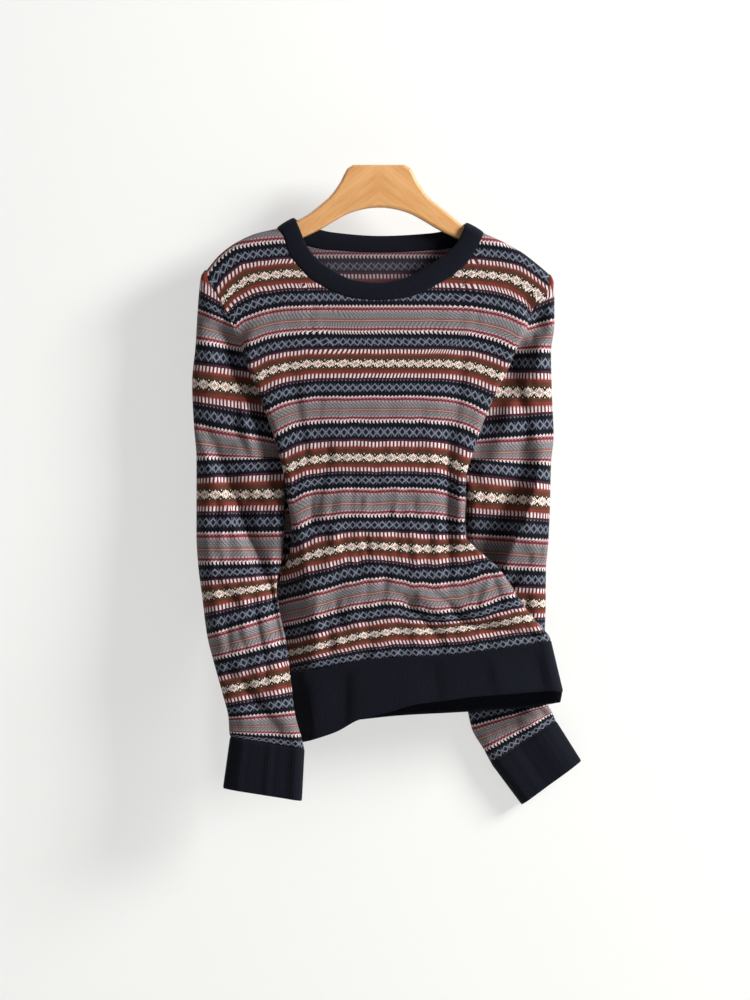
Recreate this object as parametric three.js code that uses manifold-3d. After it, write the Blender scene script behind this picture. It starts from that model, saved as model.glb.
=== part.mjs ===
// Fair isle jumper hanging on a flat beech hanger, in millimetres.
// +X is the right-hand side as seen from the front, -Y is towards the viewer and +Z is up.
// The origin is the middle of the hanger's flat top, where it is held.
// Every cloth piece is a thin wall round a middle surface. The middle surface follows the knitted
// courses (rows), so its rows are given by v, the height of a course above the seam below it.
import * as THREE from 'three';
import { mergeVertices } from 'three/addons/utils/BufferGeometryUtils.js';
import Module from 'manifold-3d';

const wasm = await Module();
wasm.setup();

// Driving sizes
const CLOTH = 2;
const BAND_CLOTH = 3.5;
const RIB_CLOTH = 2.6;
const SEAM_GAP = 0.32;
const UNDERARM_V = 256;
const TIP_V = 477;
const ROLL = 20;
const TURN = 17.8;
const TOP_TURN = 5;
const ARCH = 8;
const HANGER_THICK = 12;
const HANGER_BEVEL = 3;
const SEAT = 4.2;

// Courses of the body: centre of the course, how far it drops at the left and right edges,
// how suddenly it bends down there, and how far its right half sags
const COURSES = [
  { v: 502, centreX: 1, centreZ: -74, dropL: 21, dropR: 28, bend: 5.5, sag: 0 },
  { v: 452, centreX: 1, centreZ: -124, dropL: 23, dropR: 24, bend: 5.5, sag: 0 },
  { v: 414, centreX: 1, centreZ: -162, dropL: 21, dropR: 23, bend: 5.5, sag: 0 },
  { v: 383, centreX: 1, centreZ: -192, dropL: 19, dropR: 21, bend: 5.5, sag: 0 },
  { v: 347, centreX: 1, centreZ: -227, dropL: 19, dropR: 18, bend: 5.5, sag: 0 },
  { v: 309, centreX: 1, centreZ: -265, dropL: 19, dropR: 20, bend: 5.5, sag: 0 },
  { v: 278, centreX: 1, centreZ: -293, dropL: 18, dropR: 15, bend: 5.5, sag: 0 },
  { v: 242, centreX: 1, centreZ: -334, dropL: 17, dropR: 16, bend: 5.5, sag: 0 },
  { v: 204, centreX: 0, centreZ: -369, dropL: 17, dropR: 14, bend: 5, sag: 0 },
  { v: 173, centreX: 0, centreZ: -400, dropL: 17, dropR: 7, bend: 4, sag: 0 },
  { v: 137, centreX: 1, centreZ: -434, dropL: 23, dropR: 1, bend: 2.6, sag: 3 },
  { v: 99, centreX: 7, centreZ: -470, dropL: 30, dropR: -8, bend: 1.4, sag: 10 },
  { v: 68, centreX: 15, centreZ: -498, dropL: 30, dropR: -11, bend: 1.4, sag: 14 },
  { v: 32, centreX: 22, centreZ: -530, dropL: 30, dropR: -16, bend: 1.4, sag: 3 },
  { v: 0, centreX: 35, centreZ: -559, dropL: 22, dropR: -18, bend: 1.6, sag: 0 },
];

// Outline of the body by height: how far out its front and back panels reach on each side
const OUTLINE = [
  { z: -117, frontL: 196, frontR: 192, backL: 196, backR: 192 },
  { z: -129, frontL: 195, frontR: 193, backL: 195, backR: 193 },
  { z: -153, frontL: 182, frontR: 189, backL: 183, backR: 189 },
  { z: -161, frontL: 178, frontR: 177, backL: 180, backR: 184 },
  { z: -188, frontL: 163, frontR: 169, backL: 168, backR: 174 },
  { z: -211, frontL: 155, frontR: 156, backL: 161, backR: 164 },
  { z: -235, frontL: 147, frontR: 146, backL: 154, backR: 155 },
  { z: -263, frontL: 136, frontR: 132, backL: 145, backR: 143 },
  { z: -284, frontL: 129, frontR: 123, backL: 138, backR: 134 },
  { z: -312, frontL: 119, frontR: 112, backL: 127, backR: 122 },
  { z: -335, frontL: 112, frontR: 105, backL: 118, backR: 112 },
  { z: -358, frontL: 107, frontR: 98, backL: 119, backR: 101 },
  { z: -385, frontL: 103, frontR: 97, backL: 122, backR: 98 },
  { z: -422, frontL: 98, frontR: 96, backL: 125, backR: 98 },
  { z: -434, frontL: 99, frontR: 106, backL: 127, backR: 105 },
  { z: -446, frontL: 101, frontR: 121, backL: 128, backR: 117 },
  { z: -460, frontL: 106, frontR: 137, backL: 129, backR: 136 },
  { z: -474, frontL: 112, frontR: 146, backL: 130, backR: 145 },
  { z: -502, frontL: 116, frontR: 164, backL: 130, backR: 163 },
  { z: -524, frontL: 116, frontR: 181, backL: 129, backR: 178 },
  { z: -541, frontL: 114, frontR: 194, backL: 128, backR: 190 },
  { z: -581, frontL: 112, frontR: 194, backL: 126, backR: 190 },
];

// How the sides tuck in behind the front by height: fold is the turn at the front's edge in half
// turns, tuck is the cloth that runs back in behind it, and seam is how deep the side seam lies
const TUCKS = [
  { z: -120, foldL: 0, foldR: 0, tuckL: 6, tuckR: 6, seamL: 0, seamR: 0 },
  { z: -155, foldL: 0, foldR: 0, tuckL: 6, tuckR: 6, seamL: 0, seamR: 0 },
  { z: -180, foldL: 0, foldR: 0.3, tuckL: 6, tuckR: 6, seamL: 0, seamR: 0 },
  { z: -205, foldL: 0.28, foldR: 0.6, tuckL: 6, tuckR: 6, seamL: 0, seamR: 0 },
  { z: -235, foldL: 0.62, foldR: 0.9, tuckL: 6, tuckR: 8, seamL: 0, seamR: 0 },
  { z: -265, foldL: 0.92, foldR: 1, tuckL: 8, tuckR: 10, seamL: 0, seamR: 0 },
  { z: -335, foldL: 1, foldR: 1, tuckL: 10, tuckR: 10, seamL: 0, seamR: 0 },
  { z: -385, foldL: 1, foldR: 1, tuckL: 30, tuckR: 26, seamL: 0, seamR: 0 },
  { z: -425, foldL: 1, foldR: 0.9, tuckL: 36, tuckR: 16, seamL: 0, seamR: -6 },
  { z: -450, foldL: 1, foldR: 0.62, tuckL: 36, tuckR: 6, seamL: 0, seamR: -11 },
  { z: -480, foldL: 1, foldR: 0.5, tuckL: 36, tuckR: 4, seamL: 0, seamR: -9 },
  { z: -541, foldL: 1, foldR: 0.5, tuckL: 30, tuckR: 4, seamL: 2, seamR: -3 },
  { z: -581, foldL: 1, foldR: 0.5, tuckL: 24, tuckR: 4, seamL: 4, seamR: 0 },
];

// Depth of the flat of the front and back by height, and how far the front's left end turns back
const DEPTHS = [
  { z: -75, front: 11, back: 11, turnL: 0, edgeR: 0 },
  { z: -120, front: 12.5, back: 12, turnL: 0, edgeR: 0 },
  { z: -160, front: 15, back: 15, turnL: 0, edgeR: 0 },
  { z: -230, front: 20, back: 19, turnL: 0, edgeR: 0 },
  { z: -335, front: 24, back: 22, turnL: 0, edgeR: 0 },
  { z: -400, front: 25, back: 24, turnL: 0, edgeR: 8 },
  { z: -434, front: 26, back: 24, turnL: 8, edgeR: 22 },
  { z: -446, front: 26, back: 24, turnL: 12, edgeR: 24 },
  { z: -480, front: 27, back: 25, turnL: 20, edgeR: 20 },
  { z: -502, front: 27, back: 25, turnL: 22, edgeR: 13 },
  { z: -541, front: 26, back: 25, turnL: 23, edgeR: 4 },
  { z: -581, front: 25, back: 25, turnL: 23, edgeR: 2 },
];
const TURN_FROM = -83;
const TURN_WIDE = 32;

// The front's fullness in the middle and below what height it comes, and where the back's right
// part starts to lie forward
const CROWN = 3;
const CROWN_FROM = -150;
const CROWN_SPAN = 150;
const FORWARD_FROM = 50;
const FORWARD_SPAN = 60;

// How far past the front's edge a course's bend may go on, as a share of its half width
const PAST_EDGE = 1.15;

// Shoulder seam: its height on the left and right by distance out from the middle
const SHOULDER = [
  { out: 80, left: -52, right: -55 },
  { out: 96, left: -61, right: -65 },
  { out: 116, left: -73, right: -77 },
  { out: 140, left: -79, right: -88 },
  { out: 160, left: -88, right: -99 },
  { out: 180, left: -102, right: -114 },
  { out: 196, left: -120, right: -128 },
];

// Front neck: the seam, and the neckband's free rim, by place a along it from left to right
const FRONT_NECK = [
  { a: 0, seamX: -116, seamZ: -73, rimX: -96, rimZ: -61 },
  { a: 0.04, seamX: -109, seamZ: -82, rimX: -91, rimZ: -72 },
  { a: 0.1, seamX: -104, seamZ: -100, rimX: -85, rimZ: -87 },
  { a: 0.165, seamX: -92, seamZ: -116, rimX: -76, rimZ: -102 },
  { a: 0.24, seamX: -76, seamZ: -132, rimX: -62, rimZ: -115 },
  { a: 0.41, seamX: -28, seamZ: -153, rimX: -24, rimZ: -133 },
  { a: 0.507, seamX: 0, seamZ: -155, rimX: 0, rimZ: -135 },
  { a: 0.595, seamX: 27, seamZ: -153, rimX: 22, rimZ: -132 },
  { a: 0.768, seamX: 75, seamZ: -132, rimX: 63, rimZ: -111 },
  { a: 0.868, seamX: 99, seamZ: -113, rimX: 82, rimZ: -97 },
  { a: 0.952, seamX: 113, seamZ: -92, rimX: 93, rimZ: -81 },
  { a: 1, seamX: 119, seamZ: -78.4, rimX: 99, rimZ: -66.5 },
];

// Back neck, in the same way
const BACK_NECK = [
  { a: 0, seamX: -116, seamZ: -73, rimX: -96, rimZ: -61 },
  { a: 0.08, seamX: -99, seamZ: -85, rimX: -82, rimZ: -68 },
  { a: 0.24, seamX: -60, seamZ: -96, rimX: -52, rimZ: -76 },
  { a: 0.5, seamX: 2, seamZ: -99, rimX: 2, rimZ: -80 },
  { a: 0.76, seamX: 67, seamZ: -96, rimX: 58, rimZ: -77 },
  { a: 0.92, seamX: 103, seamZ: -88, rimX: 87, rimZ: -71 },
  { a: 1, seamX: 119, seamZ: -78.4, rimX: 99, rimZ: -66.5 },
];

// Lower edge of the hem rib by x, on the front and on the back, and how far it moves sideways
const HEM_EDGE = [
  { x: -128, front: -660, back: -642, shift: 12 },
  { x: -101, front: -657, back: -641, shift: 12 },
  { x: -80, front: -651, back: -638, shift: 12 },
  { x: -59, front: -644, back: -636, shift: 11 },
  { x: -33, front: -631, back: -634, shift: 9 },
  { x: 6, front: -621, back: -630, shift: 7 },
  { x: 36, front: -613, back: -628, shift: 5 },
  { x: 74, front: -608, back: -626, shift: 5 },
  { x: 103, front: -604, back: -624, shift: 7 },
  { x: 142, front: -601, back: -621, shift: 10 },
  { x: 182, front: -598, back: -616, shift: 13 },
  { x: 208, front: -602, back: -609, shift: 14 },
];

// Which course of a sleeve meets which course of the body along the armhole
const ARMHOLE = [
  { body: 256, sleeve: 333 },
  { body: 334, sleeve: 402 },
  { body: 383, sleeve: 438 },
  { body: 413, sleeve: 467 },
  { body: 440, sleeve: 490 },
  { body: 477, sleeve: 500 },
];

// Courses of each sleeve: its outer and inner edges, the line of its long lengthwise fold, how far
// the cloth outside that fold stands forward, and how deep its front and back lie
const LEFT_SLEEVE = [
  { v: 500, outX: 198, outZ: -121, inX: 99, inZ: -335, foldX: 198, step: 0, front: -8, back: 8 },
  { v: 497, outX: 202, outZ: -128, inX: 99, inZ: -335, foldX: 198, step: 0, front: -12, back: 11 },
  { v: 491, outX: 204, outZ: -143, inX: 99, inZ: -335, foldX: 198, step: 0, front: -13, back: 12 },
  { v: 465, outX: 206, outZ: -169, inX: 99, inZ: -335, foldX: 198, step: 0, front: -13, back: 12 },
  { v: 436, outX: 208, outZ: -205, inX: 99, inZ: -335, foldX: 198, step: 0, front: -14, back: 9 },
  { v: 402, outX: 212, outZ: -249, inX: 99, inZ: -335, foldX: 198, step: 0, front: -14, back: 9 },
  { v: 364, outX: 210, outZ: -296, inX: 99, inZ: -335, foldX: 198, step: 0, front: -14, back: 9 },
  { v: 333, outX: 207, outZ: -335, inX: 99, inZ: -335, foldX: 190, step: 3, front: -14, back: 9 },
  { v: 297, outX: 207, outZ: -376, inX: 108, inZ: -375, foldX: 175, step: 6, front: -14, back: 8 },
  { v: 258, outX: 207, outZ: -421, inX: 109, inZ: -420, foldX: 158, step: 9, front: -15, back: 6 },
  { v: 228, outX: 205, outZ: -454, inX: 112, inZ: -453, foldX: 146, step: 10, front: -18, back: 2 },
  { v: 192, outX: 200, outZ: -491, inX: 117, inZ: -479, foldX: 130, step: 10, front: -24, back: -5 },
  { v: 154, outX: 194, outZ: -535, inX: 113, inZ: -511, foldX: 117, step: 8, front: -33, back: -11 },
  { v: 123, outX: 187, outZ: -562, inX: 106, inZ: -543, foldX: 108, step: 2, front: -40, back: -17 },
  { v: 87, outX: 177, outZ: -597, inX: 101, inZ: -581, foldX: 101, step: 0, front: -45, back: -23 },
  { v: 48, outX: 169, outZ: -628, inX: 96, inZ: -622, foldX: 97, step: 0, front: -50, back: -28 },
  { v: 18, outX: 168, outZ: -644, inX: 89, inZ: -648, foldX: 89, step: 0, front: -52, back: -29 },
  { v: 0, outX: 167, outZ: -649, inX: 85, inZ: -663, foldX: 85, step: 0, front: -52, back: -30 },
];
const RIGHT_SLEEVE = [
  { v: 500, outX: 195, outZ: -126, inX: 90, inZ: -335, foldX: 190, step: 0, front: -8, back: 8 },
  { v: 497, outX: 198, outZ: -134, inX: 90, inZ: -335, foldX: 190, step: 0, front: -12, back: 11 },
  { v: 491, outX: 199, outZ: -150, inX: 90, inZ: -335, foldX: 190, step: 0, front: -13, back: 12 },
  { v: 465, outX: 199, outZ: -181, inX: 90, inZ: -335, foldX: 190, step: 0, front: -13, back: 12 },
  { v: 436, outX: 195, outZ: -215, inX: 90, inZ: -335, foldX: 190, step: 0, front: -14, back: 9 },
  { v: 402, outX: 196, outZ: -260, inX: 90, inZ: -335, foldX: 190, step: 0, front: -14, back: 9 },
  { v: 364, outX: 198, outZ: -308, inX: 90, inZ: -335, foldX: 186, step: 0, front: -14, back: 9 },
  { v: 333, outX: 195, outZ: -341, inX: 90, inZ: -335, foldX: 180, step: 3, front: -14, back: 9 },
  { v: 297, outX: 194, outZ: -384, inX: 103, inZ: -377, foldX: 171, step: 8, front: -12, back: 9 },
  { v: 258, outX: 193, outZ: -429, inX: 105, inZ: -422, foldX: 153, step: 10, front: 8, back: 26 },
  { v: 228, outX: 191, outZ: -462, inX: 108, inZ: -457, foldX: 140, step: 8, front: 25, back: 43 },
  { v: 192, outX: 191, outZ: -501, inX: 113, inZ: -498, foldX: 130, step: 3, front: 31, back: 49 },
  { v: 154, outX: 190, outZ: -537, inX: 113, inZ: -542, foldX: 120, step: 0, front: 32, back: 50 },
  { v: 123, outX: 191, outZ: -569, inX: 109, inZ: -573, foldX: 110, step: 0, front: 33, back: 51 },
  { v: 87, outX: 192, outZ: -596, inX: 101, inZ: -605, foldX: 101, step: 0, front: 33, back: 51 },
  { v: 48, outX: 194, outZ: -618, inX: 107, inZ: -643, foldX: 107, step: 0, front: 33, back: 51 },
  { v: 18, outX: 199, outZ: -628, inX: 122, inZ: -670, foldX: 122, step: 0, front: 32, back: 51 },
  { v: 0, outX: 203, outZ: -637, inX: 130, inZ: -685, foldX: 130, step: 0, front: 32, back: 51 },
];

// Free end of each cuff
const LEFT_CUFF_END = { outX: 175, outZ: -707, inX: 88, inZ: -721, front: -52, back: -32 };
const RIGHT_CUFF_END = { outX: 232, outZ: -683, inX: 165, inZ: -732, front: 31, back: 51 };

// Hanger: its outline on the right of the middle, above and below the hidden arm
const HANGER_TOP = [[29, 0], [38, -6], [42, -16], [54, -34], [66, -45], [80, -56]];
const HANGER_UNDER = [[160, -115], [130, -103], [91, -85], [68, -74], [51, -64], [34, -55], [16, -50]];
const HANGER_ARM = [95, 115, 135, 155, 168];
const HANGER_TIP = [[176, 10], [176, 17], [169, 22]];
const HANGER_MIDDLE = -48.5;
const HANGER_STEPS = 96;

// How the middle surface is shaped between those tables
const TOP_FROM = 400;
const SQUEEZE = 0.55;
const TOP_TUCK = 6;
const LEAST_TUCK = 3;
const LAYER = 8;
const BACK_RISE = 14;
const UNDERARM_FROM = -262;
const UNDERARM_SPAN = 73;
const UNDERARM_SLEEVE_V = 333;
const START_TURN = Math.PI / 2;
const UNDERARM_HEADING = { front: -0.8, back: 0.15 };
const SLEEVE_TURN = 12;
const FIRST_TURN = 4;
const GROW = 45;
const SLEEVE_EDGE = 20;
const SLEEVE_SPREAD = 30;
const CLEAR_OF_EDGE = 3;
const FOLD_WIDE = 9;
const HEM_BEHIND = 24;
const HEM_FLARE = 5;
const LEAST_MITRE = 0.5;
const UNDERARM_OPEN = 6;
const SLIVER = 0.03;

// Rows that the solids are built on
const LOWER_ROWS = [0, 25, 50, 78, 106, 134, 162, 186, 210, 234, 256];
const ARMHOLE_ROWS = [264, 274, 287, 303, 321, 341, 362, 383, 404, 425, 444, 459, 469, 474, 477];
const SLEEVE_ROWS = [0, 14, 34, 58, 84, 110, 134, 158, 182, 206, 230, 254, 278, 300, 318];
const SIDE_COLUMNS = { roll: 3, tuck: 2, turn: 2 };
const SHOULDER_COLUMNS = 4;
const FRONT_NECK_COLUMNS = 14;
const BACK_NECK_COLUMNS = 12;
const SLEEVE_COLUMNS = { turn: 3, flat: 4, edge: 3 };
const HEM_ROWS = 4;
const CUFF_ROWS = 3;
const BAND_ROWS = 3;

// Left and right here are as seen from the front. The nodes are named for the wearer's sides, so
// the sleeve and the cuff on the left here are right_sleeve and right_cuff.
const LEFT = { sign: -1, name: 'L' };
const RIGHT = { sign: 1, name: 'R' };

// Smooth curve through one column of a table, flat past its ends and never past its own values
function curve(table, along, name) {
  const rows = [...table].sort((first, second) => first[along] - second[along]);
  const at = rows.map((row) => row[along]);
  const value = rows.map((row) => row[name]);
  const rise = at.slice(1).map((place, i) => (value[i + 1] - value[i]) / (place - at[i]));
  const slope = value.map((_, i) => {
    const before = rise[Math.max(i - 1, 0)];
    const after = rise[Math.min(i, rise.length - 1)];
    return before * after > 0 ? (2 * before * after) / (before + after) : 0;
  });
  return (place) => {
    const last = at.length - 1;
    if (place <= at[0]) return value[0];
    if (place >= at[last]) return value[last];
    const i = at.findIndex((next) => next > place) - 1;
    const wide = at[i + 1] - at[i];
    const t = (place - at[i]) / wide;
    const left = value[i] + t * t * (3 - 2 * t) * (value[i + 1] - value[i]);
    return left + wide * t * (1 - t) * ((1 - t) * slope[i] - t * slope[i + 1]);
  };
}

function curves(table, along) {
  const names = Object.keys(table[0]).filter((name) => name !== along);
  return Object.fromEntries(names.map((name) => [name, curve(table, along, name)]));
}

const lerp = (from, to, t) => from + (to - from) * t;
const clamp = (value) => Math.min(Math.max(value, 0), 1);
const smooth = (value) => clamp(value) ** 2 * (3 - 2 * clamp(value));

const course = curves(COURSES, 'v');
const outline = curves(OUTLINE, 'z');
const tucks = curves(TUCKS, 'z');
const depth = curves(DEPTHS, 'z');
const shoulder = curves(SHOULDER, 'out');
const frontNeck = curves(FRONT_NECK, 'a');
const backNeck = curves(BACK_NECK, 'a');
const hemEdge = curves(HEM_EDGE, 'x');
const sleeveCourse = curve(ARMHOLE, 'body', 'sleeve');
const leftSleeve = curves(LEFT_SLEEVE, 'v');
const rightSleeve = curves(RIGHT_SLEEVE, 'v');

const endHeight = (v, side) => course.centreZ(v) - course['drop' + side.name](v);

// Height of a body course at x
function courseHeight(v, x) {
  const side = x < course.centreX(v) ? LEFT : RIGHT;
  const edge = side.sign * outline['front' + side.name](endHeight(v, side));
  const share = Math.min((x - course.centreX(v)) / (edge - course.centreX(v)), PAST_EDGE);
  const sag = side === RIGHT ? course.sag(v) * Math.sin(Math.PI * Math.min(share, 1)) : 0;
  return course.centreZ(v) - course['drop' + side.name](v) * share ** course.bend(v) - sag;
}

const shoulderHeight = (x) => (x < 0 ? shoulder.left(-x) : shoulder.right(x));

// The cloth arches over the hanger, so it reaches its full depth a little below the shoulder seam
function arch(x, z) {
  const below = clamp((shoulderHeight(x) - z) / ARCH);
  return Math.sqrt(1 - (1 - below) ** 2);
}

function frontDepth(x, z) {
  const wide = x < 0 ? outline.frontL(z) : outline.frontR(z);
  const across = 1 - Math.min(Math.abs(x / wide), 1) ** 2;
  const crown = CROWN * across * smooth((CROWN_FROM - z) / CROWN_SPAN);
  const turned = depth.turnL(z) * smooth((TURN_FROM - x) / TURN_WIDE);
  return -arch(x, z) * (depth.front(z) + crown) + turned;
}

function backDepth(x, z) {
  const forward = depth.edgeR(z) * smooth((x - FORWARD_FROM) / FORWARD_SPAN);
  return arch(x, z) * (depth.back(z) - forward);
}

const FRONT = {
  name: 'front', depth: frontDepth, inward: 1, neck: frontNeck, neckColumns: FRONT_NECK_COLUMNS,
};
const BACK = {
  name: 'back', depth: backDepth, inward: -1, neck: backNeck, neckColumns: BACK_NECK_COLUMNS,
};

// Walks a path that turns steadily through each stretch. Heading 0 is outwards and a quarter turn
// more is towards the back; out and deep are the walker's place.
function walk(stretches, start, heading) {
  const places = [start];
  let here = start;
  let angle = heading;
  for (const { length, turn, steps } of stretches) {
    for (let i = 0; i < steps; i += 1) {
      const middle = angle + turn / steps / 2;
      here = {
        out: here.out + (length / steps) * Math.cos(middle),
        deep: here.deep + (length / steps) * Math.sin(middle),
      };
      places.push(here);
      angle += turn / steps;
    }
  }
  return places;
}

// Moves the end of a row of points to a wanted place, and the rest of it in proportion
function landAt(points, end) {
  const last = points.length - 1;
  const off = end.map((value, k) => value - points[last][k]);
  return points.map((point, i) => point.map((value, k) => value + (off[k] * i) / last));
}

// The stretch of a panel at its side, on course v: it rolls over at its edge and tucks in behind
function panelEdge(v, side, panel, { fold, tuck, turn, bend }) {
  const endZ = endHeight(v, side);
  const top = smooth((v - TOP_FROM) / (TIP_V - TOP_FROM));
  const squeeze = v > UNDERARM_V ? 1 - SQUEEZE * Math.sin(fold) : 1;
  const path = walk([
    { length: ROLL * squeeze, turn: fold, steps: SIDE_COLUMNS.roll },
    { length: tuck * squeeze, turn: 0, steps: SIDE_COLUMNS.tuck },
    { length: turn * squeeze, turn: -bend, steps: SIDE_COLUMNS.turn },
  ], { out: 0, deep: 0 }, 0);
  const reach = Math.max(...path.map((place) => place.out));
  const start = outline[panel.name + side.name](endZ) - reach;
  const startX = side.sign * start;
  const startZ = lerp(courseHeight(v, startX), shoulderHeight(startX) - (TIP_V - v), top);
  const endX = side.sign * outline[panel.name + side.name](endZ);
  const last = path.length - 1;
  return path.map((place, i) => {
    const x = side.sign * (start + place.out);
    const straight = lerp(shoulderHeight(startX), shoulderHeight(endX), i / last);
    const z = lerp(startZ, endZ, i / last) + top * (shoulderHeight(x) - straight);
    const y = v < TIP_V ? panel.depth(x, z) + panel.inward * place.deep * arch(x, z) : 0;
    return [x, y, z];
  });
}

// Both panels' side stretches on course v, up to the seam between them, which is the side seam
// below the underarm and one armhole seam on each panel above it
function bodySide(v, side) {
  const endZ = endHeight(v, side);
  const near = v <= UNDERARM_V ? 1 : smooth((UNDERARM_FROM - endZ) / UNDERARM_SPAN);
  const fold = Math.PI * tucks['fold' + side.name](endZ);
  const bend = (fold - Math.PI / 2) * near;
  const tuck = tucks['tuck' + side.name](endZ);
  const turn = lerp(TOP_TURN, TURN, near);
  const front = panelEdge(v, side, FRONT, { fold, tuck, turn, bend });
  if (v <= UNDERARM_V) {
    const [seamX, , seamZ] = front.at(-1);
    const seam = [seamX, tucks['seam' + side.name](endZ), seamZ];
    const room = outline['back' + side.name](endZ) - Math.abs(seamX) - 2 * LAYER;
    const back = panelEdge(v, side, BACK, { fold, tuck: Math.max(room, LEAST_TUCK), turn, bend });
    return { front: landAt(front, seam), back: landAt(back, seam), heading: UNDERARM_HEADING };
  }
  if (v >= TIP_V) return { front, back: front };
  const underarm = bodySide(UNDERARM_V, side).front.at(-1);
  const room = outline['back' + side.name](endZ) - Math.abs(underarm[0]) - 2 * LAYER;
  const backFold = fold * near;
  const backBend = (backFold - Math.PI / 2) * near ** 2;
  const shape = { fold: backFold, tuck: lerp(TOP_TUCK, room, near), turn: TOP_TURN, bend: backBend };
  const back = panelEdge(v, side, BACK, shape);
  const meet = (points) => landAt(points, points.at(-1).map((value, k) => lerp(value, underarm[k], near)));
  const heading = {
    front: lerp(fold - bend, UNDERARM_HEADING.front, Math.sqrt(near)),
    back: lerp(backFold - backBend, UNDERARM_HEADING.back, Math.sqrt(near)),
  };
  return { front: meet(front), back: meet(back), heading };
}

// A point of a neck seam or rim, at place a from left to right
function neckPoint(neck, panel, name, a) {
  const x = neck[name + 'X'](a);
  const atShoulder = a === 0 || a === 1;
  const z = atShoulder ? shoulderHeight(x) : neck[name + 'Z'](a);
  return [x, atShoulder ? 0 : panel.depth(x, z), z];
}

// Places from 0 to 1, closer together at both ends
const easedPlaces = (count) =>
  Array.from({ length: count + 1 }, (_, i) => 0.5 - 0.5 * Math.cos((Math.PI * i) / count));

// The top edge of a panel between its side stretches: shoulder seam, neck seam, shoulder seam
function topEdge(panel) {
  const startL = bodySide(TIP_V, LEFT)[panel.name][0];
  const startR = bodySide(TIP_V, RIGHT)[panel.name][0];
  const neck = easedPlaces(panel.neckColumns).map((a) => neckPoint(panel.neck, panel, 'seam', a));
  const onShoulder = (from, to) => Array.from({ length: SHOULDER_COLUMNS }, (_, i) => {
    const x = lerp(from, to, i / SHOULDER_COLUMNS);
    return [x, 0, shoulderHeight(x)];
  });
  const left = onShoulder(startL[0], neck[0][0]);
  const right = onShoulder(startR[0], neck.at(-1)[0]).reverse();
  return [...left, ...neck, ...right];
}

// The face of a panel on a course below the underarm, between its side stretches
function lowerFace(v, panel, startL, startR, columns) {
  return Array.from({ length: columns + 1 }, (_, i) => {
    const share = i / columns;
    const x = lerp(startL[0], startR[0], share);
    const level = lerp(startL[2], startR[2], share) + BACK_RISE * 4 * share * (1 - share);
    const z = panel === FRONT ? courseHeight(v, x) : level;
    return [x, panel.depth(x, z), z];
  });
}

// The face above the underarm, blended between its lowest course, its sides and its top edge
function upperFace(v, panel, startL, startR) {
  const top = topEdge(panel);
  const columns = top.length - 1;
  const lowL = bodySide(UNDERARM_V, LEFT)[panel.name][0];
  const lowR = bodySide(UNDERARM_V, RIGHT)[panel.name][0];
  const low = lowerFace(UNDERARM_V, panel, lowL, lowR, columns);
  const t = (v - UNDERARM_V) / (TIP_V - UNDERARM_V);
  return top.map((topPoint, i) => {
    if (v >= TIP_V) return topPoint;
    const s = i / columns;
    const blend = (k) => {
      const upright = lerp(low[i][k], topPoint[k], t);
      const level = lerp(startL[k], startR[k], s);
      const corners = lerp(lerp(low[0][k], low[columns][k], s), lerp(top[0][k], top[columns][k], s), t);
      return upright + level - corners;
    };
    const x = blend(0);
    const z = blend(2);
    return [x, panel.depth(x, z), z];
  });
}

// One row of a panel, from its left seam to its right seam
function panelRow(v, panel) {
  const left = bodySide(v, LEFT)[panel.name];
  const right = bodySide(v, RIGHT)[panel.name];
  const columns = 2 * SHOULDER_COLUMNS + panel.neckColumns;
  const face = v <= UNDERARM_V
    ? lowerFace(v, panel, left[0], right[0], columns)
    : upperFace(v, panel, left[0], right[0]);
  return [...left.slice(1).reverse(), ...face, ...right.slice(1)];
}

// Half of a sleeve's row, front or back, from the seam or the inner edge to the outer edge
function sleeveHalf(start, startTurn, startLength, line, half) {
  const { out, outZ, inZ, middle, plateau, from, fold, step } = line;
  const room = out - start.out;
  const turned = walk(
    [{ length: Math.min(startLength, room / 3), turn: -startTurn, steps: SLEEVE_COLUMNS.turn }],
    { out: start.out, deep: 0 },
    startTurn,
  ).map((place) => ({ out: place.out, deep: start.deep + half.back * place.deep }));
  const left = turned.at(-1);
  const edgeWide = Math.min(SLEEVE_EDGE, room / 3);
  const roundFrom = out - edgeWide;
  const depthAt = (place) => {
    const level = lerp(left.deep, plateau, smooth((place - Math.max(from, left.out)) / SLEEVE_SPREAD));
    const forward = half.back > 0 ? step * smooth((place - fold) / FOLD_WIDE + 0.5) : 0;
    return level - forward;
  };
  const flat = Array.from({ length: SLEEVE_COLUMNS.flat }, (_, i) => {
    const place = lerp(left.out, roundFrom, (i + 1) / SLEEVE_COLUMNS.flat);
    return { out: place, deep: depthAt(place) };
  });
  const edge = Array.from({ length: SLEEVE_COLUMNS.edge }, (_, i) => {
    const angle = (Math.PI / 2) * ((i + 1) / SLEEVE_COLUMNS.edge);
    const place = roundFrom + edgeWide * Math.sin(angle);
    return { out: place, deep: lerp(middle, depthAt(place), Math.cos(angle)) };
  });
  return [...turned, ...flat, ...edge].map(({ out: place, deep }) => {
    const z = lerp(inZ, outZ, (place - start.out) / (out - start.out));
    return [place, deep, z];
  });
}

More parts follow.
